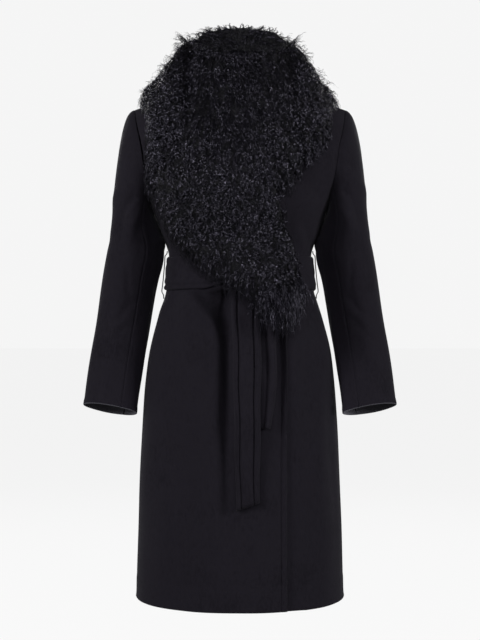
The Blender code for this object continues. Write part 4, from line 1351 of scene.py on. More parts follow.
def knot_sections():
    """Sections of the knot from below to its top, flat behind and swelling out in front."""
    sections = []
    for i in range(KNOT_ROWS):
        share = -1 + 2 * i / (KNOT_ROWS - 1)
        z = KNOT_Z + KNOT_HALF_HEIGHT * share
        swell = 1 - abs(share) ** 2.6 * 0.55
        width = KNOT_HALF_WIDTH * (0.86 + 0.14 * math.cos(share * math.pi)) * (1 - 0.25 * abs(share) ** 4)
        section = []
        for k in range(KNOT_POINTS):
            angle = 2 * math.pi * k / KNOT_POINTS
            c, s = math.cos(angle), math.sin(angle)
            x = width * math.copysign(abs(c) ** 0.8, c)
            behind = section_point(turn_of(KNOT_X + x, z), z, True)[1] - 0.0006
            folds = 0.10 * math.cos(c * 9.0 + share * 2.4) - 0.07 * math.exp(-((c - 0.3 * share - 0.1) / 0.10) ** 2)
            thick = KNOT_THICK * swell * (0.90 + folds)
            section.append((KNOT_X + x, behind - thick * (0.5 - 0.5 * s) ** 0.9, z))
        sections.append(section)
    return sections


knot = loft("belt_knot_cloth", knot_sections(), wool)
wool_piece(knot, "belt_knot")

# %% [markdown]
# Both ends of the belt hang folded lengthwise. Seen across, the long one is a raised band between two grooves, and the
# short one is mostly in its shade, with a lit ridge at its outer side. A short table gives the profile of each.

# %% Profiles of the hanging ends
LONG_PROFILE = metres((
    # share across, height over the plain end
    (0, -1), (0.06, 2.2), (0.12, 2.4), (0.175, 1.2), (0.205, -3.4), (0.235, 1),
    (0.32, 2.4), (0.52, 2), (0.7, 1.2), (0.755, -3.4), (0.785, 1), (0.86, 2.6),
    (0.94, 1.8), (1, -1.2),
), (0,))
SHORT_PROFILE = metres((
    (0, -1), (0.16, -0.4), (0.36, -1.6), (0.58, -1), (0.68, -2.4), (0.74, 2.2),
    (0.86, 4), (0.95, 2.6), (1, -1.2),
), (0,))


def skirt_front(x, z):
    """Depth of the plain coat front, folds left out."""
    return section_point(turn_of(x, z), z, True)[1]


print("points of the profiles:", len(LONG_PROFILE), "and", len(SHORT_PROFILE))

# %% [markdown]
# An end hangs from under the knot and settles against the skirt further down. Its tip is cut at a slant, and the short
# one is slimmer there as well.

# %% Hanging ends
TAIL_ROWS, TAIL_POINTS = 71, 45


def tail_sections(left, right, low_left, low_right, top_z, low_z, lift, thick, slant, taper, profile):
    """Sections of a hanging end from its top to its tip."""
    sections = []
    for i in range(TAIL_ROWS):
        share = i / (TAIL_ROWS - 1)
        x0 = left + (low_left - left) * share
        x1 = right + (low_right - right) * share - taper * max(share - 0.62, 0.0) ** 2 / 0.144
        outer, inner = [], []
        for j in range(TAIL_POINTS):
            part = j / (TAIL_POINTS - 1)
            end = low_z - slant * (1 - part)
            z = top_z + (end - top_z) * share
            x = x0 + (x1 - x0) * part + 0.0007 * math.sin(z * 46 + part * 2)
            wave = float(sample(profile, part)[0]) * (1 - 0.35 * share)
            wave += 0.0007 * math.sin(part * 9 + z * 37) + 0.0005 * math.sin(z * 88 + part * 4)
            edge = (1 - abs(2 * part - 1) ** 12) ** 0.5
            settle = ease(-0.640, -0.720, z) * (lift - 0.0035)
            base = min(skirt_front(x, z), skirt_front((x0 + x1) / 2, z)) - lift + max(settle, 0.0)
            tip = 1 - 0.5 * ease(0.988, 1.0, share)
            inner.append((x, base - min(wave, 0.0) * 0.3, z))
            outer.append((x, base - 0.0006 - wave * edge - thick * (0.30 + 0.70 * edge) * tip, z))
        sections.append(inner + outer[::-1])
    return sections


TAILS = (
    # name, left and right at the top, left and right at the tip, top z, tip z, lift, thickness, slant, taper, profile
    ("belt_tail_long", -0.0165, 0.0405, -0.0070, 0.0365, -0.4108, -0.800, 0.0112, 0.0055, 0.0155, 0.0, LONG_PROFILE),
    ("belt_tail_short", 0.0120, 0.0650, 0.0180, 0.0690, -0.4108, -0.664, 0.0036, 0.0046, 0.0030, 0.0130,
     SHORT_PROFILE),
)
for name, *numbers in TAILS:
    tail = loft(name + "_cloth", tail_sections(*numbers), wool)
    wool_piece(tail, name)
print("hanging ends:", len(TAILS))

# %% [markdown]
# A belt loop is a narrow folded strap at the side seam. The belt runs through it, so it stands off the coat by
# the belt's thickness and dives into the seam at both ends.

# %% Belt loops
STRAP_PATH = metres((
    # z, distance from the seam
    (-329, 0.6), (-334, 2.6), (-338.5, 6.8), (-350, 7.8), (-373.5, 8),
    (-397, 8.2), (-408.5, 7.6), (-415, 3), (-422, 0.6),
))


def strap_sections(sign, seam):
    """Sections of a strap down its path; the sign picks the side of the coat."""
    sections = []
    for z in np.linspace(STRAP_PATH[0][0], STRAP_PATH[-1][0], 41):
        out = float(sample([(-a, b) for a, b in STRAP_PATH], -z)[0])
        x = float(np.interp(z, seam[:, 2], seam[:, 0])) + out
        ring = []
        for angle in np.linspace(0, 2 * math.pi, 20, endpoint=False):
            c, s = math.cos(angle), math.sin(angle)
            across = 0.0037 * math.copysign(abs(s) ** 0.5, s)
            ring.append(((x + 0.0008 + 0.0009 * math.copysign(abs(c) ** 0.6, c)) * sign, across, z))
        sections.append(ring)
    return sections


for side, sign in (("left", 1.0), ("right", -1.0)):
    strap = loft("belt_loop_%s_cloth" % side, strap_sections(sign, front_plain[:len(SKIRT_ROWS), -1]), wool)
    wool_piece(strap, "belt_loop_" + side)

# %% [markdown]
# ## Collar
# The collar is a long pile standing on a pelt. It starts as rays, which leave the neckline and run over the coat to the
# collar's outline: a table with one row wherever the edge bends. Then the pile's height is added along the rays,
# highest at the stand behind the neck and rounded off at the edge.

# %% Outline of the right half
PILE = 0.050
UNDER_PILE = 0.040
PILE_EDGE = 0.042
NECK_SEAM = 0.0005
COLLAR_ROOM = 0.0022
STATIONS = 32
STEPS = 12
RIGHT_COLLAR = metres((
    # turn from the back in degrees, outer x, outer z, bow of the ray
    (0, 0, -150, 0),
    (22, -62, -147, 0),
    (44, -118, -128, 0),
    (66, -162, -94, 0),
    (90, -188, -52, 0),
    (106, -184, -95, 0),
    (120, -180, -140, 0),
    (132, -174, -182, 0),
    (139.7, -163, -224, 0),
    (145.8, -147, -262, 0),
    (151.2, -124, -306, 0),
    (155.8, -96, -350, 0),
    (159.6, -60, -384, 1),
    (163.5, -20, -410, 2),
    (167.3, 18, -436, 4),
    (170.4, 48, -462, 6),
    (173.4, 77, -474, 7.5),
    (176.5, 98, -450, 8.5),
), (0,))
print("rows of the right half:", len(RIGHT_COLLAR))

# %% [markdown]
# The left half is shorter and goes under the right one at the chest. A second table says how high the fleece stands
# round the neck.

# %% Outline of the left half
LEFT_COLLAR = metres((
    # turn from the back in degrees, outer x, outer z, bow of the ray
    (0, 0, -150, 0),
    (22, 62, -147, 0),
    (44, 118, -128, 0),
    (66, 162, -94, 0),
    (90, 190, -53, 0),
    (106, 187, -88, 0),
    (120, 183, -120, 0),
    (132, 170, -156, 0),
    (146, 146, -188, 0),
    (160, 114, -213, 0),
    (172, 83, -230, 1),
    (183.5, 56, -241, 2.2),
), (0,))
STAND = metres((
    # turn from the back in degrees, height
    (0, 142),
    (40, 129),
    (66, 109),
    (90, 95),
    (140, 87),
    (190, 90),
), (0,))
print("rows of the left half:", len(LEFT_COLLAR), "highest stand:", STAND[0][1])

# %% [markdown]
# The collar lies on the coat. The neckline gives the start of each ray, and a tree of faces, which finds the nearest
# place on a surface quickly, tells how deep the coat lies under the rest.

# %% Surface under the collar
def neck_point(turn):
    """Point of the neckline, by degrees from the middle of the back; sign picks the side."""
    angle = math.radians(turn)
    y = NECK_HALF_DEPTH * math.cos(angle)
    rim = NECK_BACK_Z if y > 0 else NECK_FRONT_Z
    return np.array((-NECK_HALF_WIDTH * math.sin(angle), y, NECK_SIDE_Z + (rim - NECK_SIDE_Z) * abs(math.cos(angle))))


def skirt_depth(x, z, front):
    """Rough depth of the coat at a place seen from the front or the back."""
    half, ahead, behind, roundness = sample(BODY, min(z, CHEST_Z))
    wide = half + max(z - CHEST_Z, 0.0) / (SHOULDER_Z - CHEST_Z) * (SHOULDER_HALF_WIDTH - half)
    share = max(1 - min(abs(x) / wide, 1.0) ** roundness, 0.0) ** (1 / roundness)
    top = min(max((z - CHEST_Z) / (0.03 - CHEST_Z), 0.0), 1.0)
    share *= math.sqrt(max(1 - top**2, 0.0))
    return -ahead * share if front else behind * share


def surface_tree(sheets):
    """The coat's outer surface, front and back, faces out, for laying the collar on it."""
    vertices = []
    faces = []
    for points, normals, used in sheets:
        start = len(vertices)
        vertices.extend(Vector(p) for p in points.reshape(-1, 3))
        for ring in cell_rings(used):
            first, beside, across, above = ring
            face = [start + i * points.shape[1] + j for i, j in ring]
            turn = np.cross(points[beside] - points[first], points[above] - points[first])
            faces.append(face[::-1] if np.dot(turn, normals[first]) < 0 else face)
    return BVHTree.FromPolygons(vertices, faces)


def clearance(x, z):
    """Room under the fur for the belt, the knot and the hanging ends."""
    belt = 0.0075 * ease(-0.318, -0.332, z) * (1 if z > -0.43 else 0.5)
    knot = 0.0235 * ease(-0.055, -0.024, x) * ease(0.092, 0.052, x) * ease(-0.308, -0.334, z)
    return belt + knot


coat_tree = surface_tree(((front_plain, front_normals, front_used), (back_plain, back_normals, back_used)))
print("neckline at the side:", neck_point(90.0).round(3))

# %% [markdown]
# The two halves cross in front. Near the crossing both share one direction for the pile, so they part along one clean
# slanted face instead of growing through each other.

# %% Rays of the collar
CROSSING = 22.0


def mitre(crossing, length):
    """Lean of the crossing face to its height, so that one half of the collar lies over the other."""
    return (0.10 + 0.36 * ease(0.0, 0.12, length)) * crossing


def crossing_way(point):
    """Direction of the fur at the crossing, common to both halves."""
    way = np.array((3.4 * point[0], -1.0, 0.25 * ease(-0.26, -0.18, point[2])))
    return way / np.linalg.norm(way)


def smooth_ways(ways, rounds):
    """Directions evened out over their neighbours, so that the fur stands smoothly."""
    for _ in range(rounds):
        padded = np.pad(ways, ((1, 1), (1, 1), (0, 0)), mode="edge")
        ways = (padded[:-2, 1:-1] + padded[2:, 1:-1] + padded[1:-1, :-2] + padded[1:-1, 2:] + ways * 2)
        ways /= np.linalg.norm(ways, axis=2)[:, :, None]
    return ways


def collar_rays(table, tree, sign, stations, steps, gap):
    """Places on the coat under each ray of the collar, and the directions out of the cloth."""
    last = table[-1][0]
    places = np.zeros((stations + 1, steps + 1, 3))
    ways = np.zeros((stations + 1, steps + 1, 3))
    for k in range(stations + 1):
        turn = last * k / stations
        outer_x, outer_z, bow = sample(table, turn)
        root = neck_point(sign * turn)
        near_ridge = ease(72.0, 90.0, turn) * ease(108.0, 90.0, turn)
        depth = skirt_depth(outer_x, outer_z, turn > 90.0) * (1 - near_ridge)
        tip = np.array((outer_x, depth, outer_z))
        control = (root + tip) / 2 + np.array((2 * bow, 0.0, 0.0))
        crossing = ease(last - CROSSING, last, turn)
        for i in range(steps + 1):
            t = (i / steps) ** 1.15
            point = root * (1 - t) ** 2 + control * 2 * t * (1 - t) + tip * t**2
            point[0] += gap * crossing - 0.027 * mitre(crossing, float(np.linalg.norm(point - root)))
            place, normal = tree.find_nearest(Vector(point))[:2]
            if crossing > 0:
                ahead = tree.ray_cast(Vector((point[0], -1.0, point[2])), Vector((0.0, 1.0, 0.0)), 0.96)[0]
                if ahead is not None:
                    place, normal = tree.find_nearest(place.lerp(ahead, crossing))[:2]
            places[k, i] = place
            ways[k, i] = normal
    ways = smooth_ways(ways, 14)
    for k in range(stations + 1):
        crossing = ease(last - CROSSING, last, last * k / stations)
        for i in range(steps + 1):
            ways[k, i] += (crossing_way(places[k, i]) - ways[k, i]) * crossing
    return places, ways / np.linalg.norm(ways, axis=2)[:, :, None]


print("rays of the right half:", STATIONS + 1)

# %% [markdown]
# The underside is pushed out point by point until it clears the belt and its knot. A point moves only as far as it
# lacks room to the nearest face.

# %% Room under the collar
def face_spots(a, b, c, d):
    """Test spots on a four-cornered face, along its sides, both its diagonals and between."""
    spots = []
    for u in (0.0, 0.25, 0.5, 0.75, 1.0):
        for start, end in ((a, b), (c, d), (a, c), (b, d), (a, d), (b, c)):
            spots.append(start * (1 - u) + end * u)
    for u in (0.33, 0.67):
        for v in (0.33, 0.67):
            spots.append((a * (1 - u) + b * u) * (1 - v) + (c * (1 - u) + d * u) * v)
    return spots


def push_out(points, ways, trees, room):
    """Moves points out along their ways until the sheet between them clears what lies below."""
    points = points.copy()
    for _ in range(14):
        need = np.zeros(points.shape[:2])
        for i in range(points.shape[0] - 1):
            for j in range(points.shape[1] - 1):
                for spot in face_spots(points[i, j], points[i + 1, j], points[i, j + 1], points[i + 1, j + 1]):
                    lack = shortfall(spot, trees, room)
                    need[i:i + 2, j:j + 2] = np.maximum(need[i:i + 2, j:j + 2], lack)
        if need.max() <= 0:
            break
        points += ways * (np.minimum(need, 0.004)[:, :, None] * 0.8 + (need[:, :, None] > 0) * 0.0002)
    return points


def shortfall(spot, trees, room):
    """How much closer than the room a spot is to the surfaces below it."""
    lack = 0.0
    for tree in trees:
        place, normal, index, distance = tree.find_nearest(Vector(spot))
        inside = (Vector(spot) - place).dot(normal) < -0.5 * distance
        lack = max(lack, room + distance if inside else room - distance)
    return lack


def object_tree(names):
    """The faces of some solids of the frame in one tree."""
    vertices = []
    faces = []
    for name in names:
        mesh = frame["nodes"][name].data
        start = len(vertices)
        vertices.extend(v.co for v in mesh.vertices)
        faces.extend([start + i for i in p.vertices] for p in mesh.polygons)
    return BVHTree.FromPolygons(vertices, faces)


under_names = ("belt_band", "belt_knot", "belt_tail_long", "belt_tail_short")
belt_tree = object_tree(under_names)
sleeve_tree = object_tree([name for name in frame["nodes"] if name.startswith("sleeve")])
print("solids under the collar:", len(under_names))

# %% [markdown]
# The pile rises from nothing at the edge in a quarter round, stands at its full height over the shoulder and turns up
# round the neck. A few slow waves make it uneven, as locks do that lie over each other.

# %% Height of the pile
def tufts(a, b):
    """Uneven surface of the locks."""
    return (math.sin(a * 47 + 1.3 * math.sin(b * 31)) + math.sin(b * 71 + a * 29 + 2.1)
            + 0.7 * math.sin(a * 83 - b * 57 + 0.6)) / 2.7


def pile_line(under, places, ways, turn, last, sign, pile):
    """Fur surface above one ray of the collar, from the rim out to the edge."""
    up = np.array((0.0, 0.0, 1.0))
    crossing = ease(last - CROSSING, last, turn)
    lengths = np.concatenate(((0.0,), np.cumsum(np.linalg.norm(np.diff(places, axis=0), axis=1))))
    rise = sample(STAND, turn)[0]
    line = []
    for i, length in enumerate(lengths):
        far = lengths[-1] - length
        round_off = math.sqrt(max(1 - (1 - min(far / PILE_EDGE, 1.0)) ** 2, 0.0))
        stand = (rise - pile) * (1 - ease(0.0, 0.095, length))
        calm = (1 - crossing) * ease(0.02, 0.08, length) * ease(0.0, 0.03, far)
        ridge = ease(66.0, 90.0, turn) * ease(118.0, 92.0, turn) * ease(0.02, 0.07, length)
        height = 0.004 + pile * round_off * (1 - 0.14 * ridge) + stand
        height *= 0.87 + 0.13 * ease(-0.006, 0.020, length)
        height *= 1 + 0.085 * tufts(turn * 0.0098 * sign, length * 2.2) * calm
        way = ways[i] + up * 3.0 * (1 - ease(0.0, 0.11, length))
        way /= np.linalg.norm(way)
        lean = np.array((mitre(crossing, length) * height, 0.0, 0.0))
        line.append(under[i] + way * height + lean)
    return line


def even_out(lines, until):
    """Lines of the fur evened out over their neighbours; the seam, the edge and the crossing stay."""
    share = np.minimum(np.arange(lines.shape[1])[::-1] / 4, 1.0)[None, :, None]
    for _ in range(3):
        mean = lines[:until - 1] * 0.25 + lines[1:until] * 0.5 + lines[2:until + 1] * 0.25
        lines[1:until] += (mean - lines[1:until]) * share
    return lines


print("unevenness at one place:", round(tufts(0.5, 0.1), 2))

# %% [markdown]
# Half a collar takes four steps: lay the rays on the coat, push the underside out until it clears what lies below,
# raise the pile above it, and even the pile out except where both halves cross.

# %% Halves of the collar
EVEN_SHARE = 0.86


def collar_half(table, sign, pile, gap):
    """Under surface, pile surface and the direction in towards the neck, for one half of the collar."""
    last = table[-1][0]
    places, ways = collar_rays(table, coat_tree, sign, STATIONS, STEPS, gap)
    unders = places + ways * 0.0006
    front_side = np.arange(STATIONS + 1) * last / STATIONS > 90.0
    for k in np.nonzero(front_side)[0]:
        for i in range(STEPS + 1):
            unders[k, i] += ways[k, i] * clearance(places[k, i][0], places[k, i][2])
    unders = push_out(unders, ways, [coat_tree, belt_tree, sleeve_tree], COLLAR_ROOM)
    unders[:3, 0] = places[:3, 0] + ways[:3, 0] * NECK_SEAM
    outers = np.array([pile_line(unders[k], places[k], ways[k], last * k / STATIONS, last, sign, pile)
                       for k in range(STATIONS + 1)])
    outers = even_out(outers, int(STATIONS * EVEN_SHARE))
    inward_ways = np.array([neck_point(sign * last * k / STATIONS) for k in range(STATIONS + 1)]) * (-1, -1, 0)
    return unders, outers, inward_ways / np.linalg.norm(inward_ways, axis=1)[:, None]


halves = {"right": collar_half(RIGHT_COLLAR, 1, PILE, 0.0), "left": collar_half(LEFT_COLLAR, -1, UNDER_PILE, 0.0020)}
print("highest point of the collar:", round(float(halves["right"][1][:, :, 2].max()), 3))

# %% [markdown]
# The fleece is black too, but each hair is smooth, so it glints where the wool next to it stays dull. Each hair has a
# tone of its own, with painted shade towards its root, from a colour that is kept with the points of the mesh.

# %% Curly fleece
def fleece_material(name, dark, light, roughness, specular, curls=0.0):
    """Glossy black hair with painted shade at the root; a pelt can also carry small tight curls in its bump."""
    made, nodes, links, shader = new_material(name)
    place = nodes.new("ShaderNodeTexCoord").outputs["Object"]
    patch = noise(nodes, links, place, 34.0, 3.0)
    grit = noise(nodes, links, place, 420.0, 3.0)
    # a colour of the points: a random tone for each hair, with painted shade darkening it towards the root
    attribute = nodes.new("ShaderNodeVertexColor")
    attribute.layer_name = "tone"
    shade = nodes.new("ShaderNodeMix")
    shade.data_type = "RGBA"
    shade.blend_type = "MULTIPLY"
    dial(shade, {"Factor": 1.0})
    tone = mixed(nodes, links, patch, grit, 0.4)
    links.new(ramp(nodes, links, tone, ((0.30, dark), (0.72, light))), shade.inputs["A"])
    links.new(attribute.outputs["Color"], shade.inputs["B"])
    links.new(shade.outputs["Result"], shader.inputs["Base Color"])
    links.new(ranged(nodes, links, grit, roughness - 0.07, roughness + 0.12), shader.inputs["Roughness"])
    curl = noise(nodes, links, place, 190.0, 4.0)
    raised = bump(nodes, links, mixed(nodes, links, curl, grit, 0.4), 0.5, 0.0016)
    if curls:
        strand = nodes.new("ShaderNodeTexWave")
        dial(strand, {"Scale": 62.0, "Distortion": 26.0, "Detail": 2.0, "Detail Scale": 3.4})
        links.new(place, strand.inputs["Vector"])
        wave = mixed(nodes, links, strand.outputs["Fac"], curl, 0.35)
        raised = bump(nodes, links, wave, 1.0, curls)
    links.new(raised, shader.inputs["Normal"])
    dial(shader, {"Specular IOR Level": specular, "Specular Tint": (0.80, 0.75, 1.0, 1.0), "Sheen Weight": 0.01,
                  "Sheen Roughness": 0.5})
    return made


pelt_look = fleece_material("fleece_pelt", (0.0004, 0.0004, 0.0006), (0.0008, 0.0007, 0.0013), 0.34, 0.060, 0.0060)
hair_look = fleece_material("fleece_hair", (0.0006, 0.0006, 0.0009), (0.0015, 0.0013, 0.0023), 0.23, 0.125)
strand_look = fleece_material("fleece_strands", (0.0004, 0.0004, 0.0006), (0.0013, 0.0011, 0.0020), 0.28, 0.065)
print("looks of the fleece:", pelt_look.name, hair_look.name, strand_look.name)

# %% [markdown]
# ## Pelt
# Under the hairs lies the pelt: a closed form at about three quarters of the pile's height, rough with small tight
# curls. It fills the gaps between the hairs, so a fairly small number of hairs already looks dense.

# %% Finer grid and its curls
FINE = 8


def refined(grid, times):
    """A grid of points with smooth rows and columns put in between."""
    for axis in (0, 1):
        grid = np.moveaxis(grid, axis, 0)
        slope = np.gradient(grid, axis=0)
        parts = [hermite(grid[i], grid[i + 1], slope[i], slope[i + 1], s / times)
                 for i in range(len(grid) - 1) for s in range(times)]
        grid = np.moveaxis(np.array(parts + [grid[-1]]), 0, axis)
    return grid


def curls(point):
    """Height of the small curls at a point, in metres."""
    big = lumps.noise(Vector(point) * 42.0) * 0.0040
    curl = (0.32 - abs(lumps.noise(Vector(point) * 105.0))) * 0.0052
    fine = (0.30 - abs(lumps.noise(Vector(point) * 215.0 + Vector((3.1, 0.0, 7.7))))) * 0.0026
    return big + curl + fine


def grid_ways(points, out):
    """Unit normals of a grid of points, on the side that another grid of directions points to."""
    normals = np.cross(np.gradient(points, axis=0), np.gradient(points, axis=1))
    normals /= np.linalg.norm(normals, axis=2)[:, :, None] + 1e-12
    flip = np.sign(np.sum(normals * out, axis=2))
    flip[flip == 0] = 1
    return normals * flip[:, :, None]


print("curls at two places:", round(curls((0.1, 0.0, 0.0)), 4), round(curls((0.0, 0.1, 0.0)), 4))

# %% [markdown]
# The pelt lies lower at the outer edge, where only loose locks hang, and at the shoulders. It lies higher round the rim
# of the neck, where the fleece is bent open. All places are shares: how far round the neck, and how far out from it.

# %% Height of the pelt
SHARE_OF_PILE = 0.76
KEPT = 0.962
SHOULDER_FROM = {"right": 0.49, "left": 0.46}
EDGE_CUT = {"right": (0.47, 0.86, 0.080), "left": (0.43, 0.94, 0.120)}


def pelt_share(side, rows, keep):
    """Share of the pile's height that the pelt takes, for each point of its grid."""
    fall = np.linspace(0, 1, keep)
    round_neck = np.linspace(0, 1, rows)[:, None]
    share = SHARE_OF_PILE * (1 - 0.45 * rising(fall, 0.86, 0.14) ** 2)
    rim = 0.97 - 0.08 * rising(round_neck, 0.22, 0.1)
    share = share[None, :] + (rim - share[None, :]) * np.clip(1 - fall[None, :] / 0.14, 0, 1)
    crown = rising(round_neck, 0.18, 0.10) * rising(round_neck, 0.66, -0.10)
    share = share + (0.96 - share) * crown * rising(fall[None, :], 0.80, -0.2) * np.clip(fall / 0.16, 0, 1)
    shoulder = rising(round_neck, SHOULDER_FROM[side], 0.10) * rising(round_neck, 0.90, -0.08)
    return share - 0.40 * shoulder * rising(fall[None, :], 0.62, 0.30)


def shortened(grid, limits, count):
    """Each row of a grid cut at its own share of its length and divided evenly again."""
    places = np.linspace(0, 1, grid.shape[1])
    rows = [[np.interp(np.linspace(0, limit, count), places, row[:, a]) for a in range(3)]
            for row, limit in zip(grid, limits)]
    return np.array(rows).transpose(0, 2, 1)


print("share at the rim of the neck:", round(float(pelt_share("right", 9, 9)[0, 0]), 2))

# %% [markdown]
# The pelt is a closed loft: its underside on the coat, its curly top, and a lining that bulges in towards the neck
# and joins the two. The fine top, the lining and the front edge are kept, because the hairs grow from them.

# %% Pelt of each half
LINING_POINTS = 26
LINING_BULGE = 0.019


def pelt_half(name, side, under, outer, inward_ways):
    """The closed pelt of half a collar, and the surfaces that the hairs grow from."""
    keep = int((under.shape[1] - 1) * FINE * KEPT) + 1
    low, high = refined(under, FINE), refined(outer, FINE)
    start, end, cut = EDGE_CUT[side]
    turn = np.linspace(0, 1, len(low))
    limits = KEPT - cut * rising(turn, start, 0.10) * rising(turn, end, -0.10)
    low, high = shortened(low, limits, keep), shortened(high, limits, keep)
    inner = refined(np.stack((inward_ways, inward_ways), axis=1), FINE)[:, 0]
    rows = high.shape[0]
    skin = low + (high - low) * pelt_share(side, rows, keep)[:, :, None]
    ways = grid_ways(skin, high - low)
    rough = np.array([[curls(p) for p in row] for row in skin])
    stay = np.minimum(np.arange(rows)[:, None] / 3, 1.0) * np.minimum(np.arange(rows)[::-1][:, None] / 6, 1.0)
    curled = skin + ways * (rough * stay)[:, :, None]
    for grid in (low, skin, curled):
        grid[0, :, 0] = 0.0
    picked = list(range(0, keep, FINE)) + ([keep - 1] if (keep - 1) % FINE else [])
    sections, linings = [], []
    for k in range(rows):
        foot, head = low[k, 0], curled[k, 0]
        lining = [foot + (head - foot) * u + inner[k] * (LINING_BULGE * math.sin(math.pi * u) ** 0.8)
                  for u in np.linspace(0, 1, LINING_POINTS)]
        linings.append(lining)
        lining = [p + inner[k] * curls(p) * 0.9 for p in lining[1:-1]]
        sections.append([low[k, i] for i in reversed(picked)] + lining + list(curled[k]))
    pelt = loft(name, sections, pelt_look)
    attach(pelt, "root")
    print(name, "faces:", len(pelt.data.polygons))
    linings = np.array(linings)
    edge = np.linspace(skin[-1], low[-1], 8)
    return (pelt, skin, ways, linings, grid_ways(linings, np.broadcast_to(inner[:, None, :], linings.shape)),
            edge, np.broadcast_to(skin[-1] - skin[-5], edge.shape))


pelts = {}
for side in ("right", "left"):
    pelts[side] = pelt_half("collar_%s_pelt" % side, side, *halves[side])
    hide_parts("collar_" + side)
    mesh = pelts[side][0].data
    tones = mesh.color_attributes.new("tone", "FLOAT_COLOR", "POINT")
    tones.data.foreach_set("color", np.ones(len(mesh.vertices) * 4))

# %% [markdown]
# ## Hairs
# A hair is a narrow ribbon that leaves the pelt, bends over in the direction of the nap and winds in a small helix.
# Neighbouring hairs share their winding, so they read as locks. All paths are computed in one go as arrays of numbers,
# because a loop over nearly thirty thousand hairs would be slow.

# %% Shape of a hair
SEGMENTS = 11
PER_LOCK = 3
GATHER = 0.0018
random = np.random.default_rng(11)


def unit(vectors):
    """Directions brought to a length of 1."""
    return vectors / (np.linalg.norm(vectors, axis=-1)[..., None] + 1e-12)


def hair_paths(roots, normals, flows, style):
    """Points along each hair, and the direction of its width."""
    count = len(roots)
    locks = count // PER_LOCK
    lock = np.repeat(np.arange(locks), PER_LOCK)
    length = style["length"] * (0.75 + 0.5 * random.random(locks))[lock] * (0.9 + 0.2 * random.random(count))
    phase = (random.random(locks) * 2 * math.pi)[lock] + random.normal(0, 0.30, count)
    curl = (style["curl"] * (0.8 + 0.4 * random.random(locks)))[lock]
    swing = (style["swing"] * (0.7 + 0.6 * random.random(locks)))[lock]
    turn = (random.normal(0, style["stray"], locks))[lock] + random.normal(0, 0.12, count)
    sides = unit(np.cross(normals, flows))
    flows = unit(flows * np.cos(turn)[:, None] + sides * np.sin(turn)[:, None])
    sides = unit(np.cross(normals, flows))
    hand = np.where(random.random(locks) < 0.5, -1.0, 1.0)[lock]
    s = np.linspace(0, 1, SEGMENTS + 1)[None, :, None]
    span = length[:, None, None]
    lift = (style["lift"] * (0.6 + 0.8 * random.random(locks)))[lock][:, None, None]
    path = roots[:, None, :] + flows[:, None, :] * span * s * 0.82
    path = path + normals[:, None, :] * lift * (1 - (1 - s) ** 2.2) * (1 - 0.35 * s * s)
    path = path + np.array((0.0, 0.0, -1.0)) * span * style["droop"] * s * s
    angle = phase[:, None, None] + 2 * math.pi * span / curl[:, None, None] * s * hand[:, None, None]
    reach = swing[:, None, None] * (0.35 + 0.65 * np.sqrt(s)) * (1 - 0.25 * s)
    path = path + (sides[:, None, :] * np.cos(angle) + normals[:, None, :] * np.sin(angle) * 0.85) * reach
    gather = unit(random.normal(0, 1, (count, 3))) * (GATHER * random.random(count) ** 0.5)[:, None]
    path = path + gather[:, None, :] * (1 - 0.6 * s)
    ahead = unit(np.gradient(path, axis=1))
    facing = normals + sides * random.normal(0, 0.5, count)[:, None]
    wide = unit(np.cross(ahead, np.broadcast_to(facing[:, None, :], ahead.shape)))
    thick = style["width"] * (0.75 + 0.5 * random.random(count))[:, None, None] * (1 - 0.75 * s ** 3)
    return path, wide * thick / 2, style["dull"]


print("points of a hair:", SEGMENTS + 1)

# %% [markdown]
# Handing Blender whole arrays of points and corners takes a moment, where adding faces one by one would take minutes.
# Each hair gets a tone of its own, with painted shade towards the root, and one of two looks: the short curls shine,
# and the long strands are duller.

# %% Mesh of many hairs
def hair_mesh(name, batches, node):
    """One piece of many hairs, with a tone for each and painted shade at the root."""
    path = np.concatenate([b[0] for b in batches])
    wide = np.concatenate([b[1] for b in batches])
    dull = np.concatenate([np.full(len(b[0]), b[2], np.int32) for b in batches])
    count, points = path.shape[:2]
    vertices = np.stack((path - wide, path + wide), axis=2).reshape(-1, 3)
    first = (np.arange(count)[:, None] * points + np.arange(points - 1)[None, :]).reshape(-1) * 2
    corners = np.stack((first, first + 1, first + 3, first + 2), axis=1).reshape(-1)
    mesh = bpy.data.meshes.new(name)
    mesh.vertices.add(len(vertices))
    mesh.vertices.foreach_set("co", vertices.reshape(-1))
    mesh.loops.add(len(corners))
    mesh.loops.foreach_set("vertex_index", corners.astype(np.int32))
    mesh.polygons.add(len(first))
    mesh.polygons.foreach_set("loop_start", np.arange(0, len(corners), 4, dtype=np.int32))
    mesh.update(calc_edges=True)
    mesh.validate()
    mesh.shade_smooth()
    mesh.materials.append(hair_look)
    mesh.materials.append(strand_look)
    mesh.polygons.foreach_set("material_index", np.repeat(dull, points - 1))
    # a random tone for each hair, times painted shade that darkens it towards the root
    tone = (0.55 + 0.75 * random.random(count))[:, None] * (0.35 + 0.65 * np.linspace(0, 1, points) ** 0.6)[None, :]
    colour = np.ones((count, points, 2, 4))
    colour[:, :, :, :3] = tone[:, :, None, None]
    mesh.color_attributes.new("tone", "FLOAT_COLOR", "POINT").data.foreach_set("color", colour.reshape(-1))
    made = bpy.data.objects.new(name, mesh)
    scene.collection.objects.link(made)
    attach(made, "root")
    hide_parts(node)
    print(name, "hairs:", count, "triangles:", len(first) * 2)
    return made


print("looks for the hairs:", hair_look.name, "and", strand_look.name)

# %% [markdown]
# Roots are drawn at random, but by area, so the hairs stand equally dense on the wide and on the narrow parts of the
# pelt. The draw has a fixed seed, so each run grows the same coat.

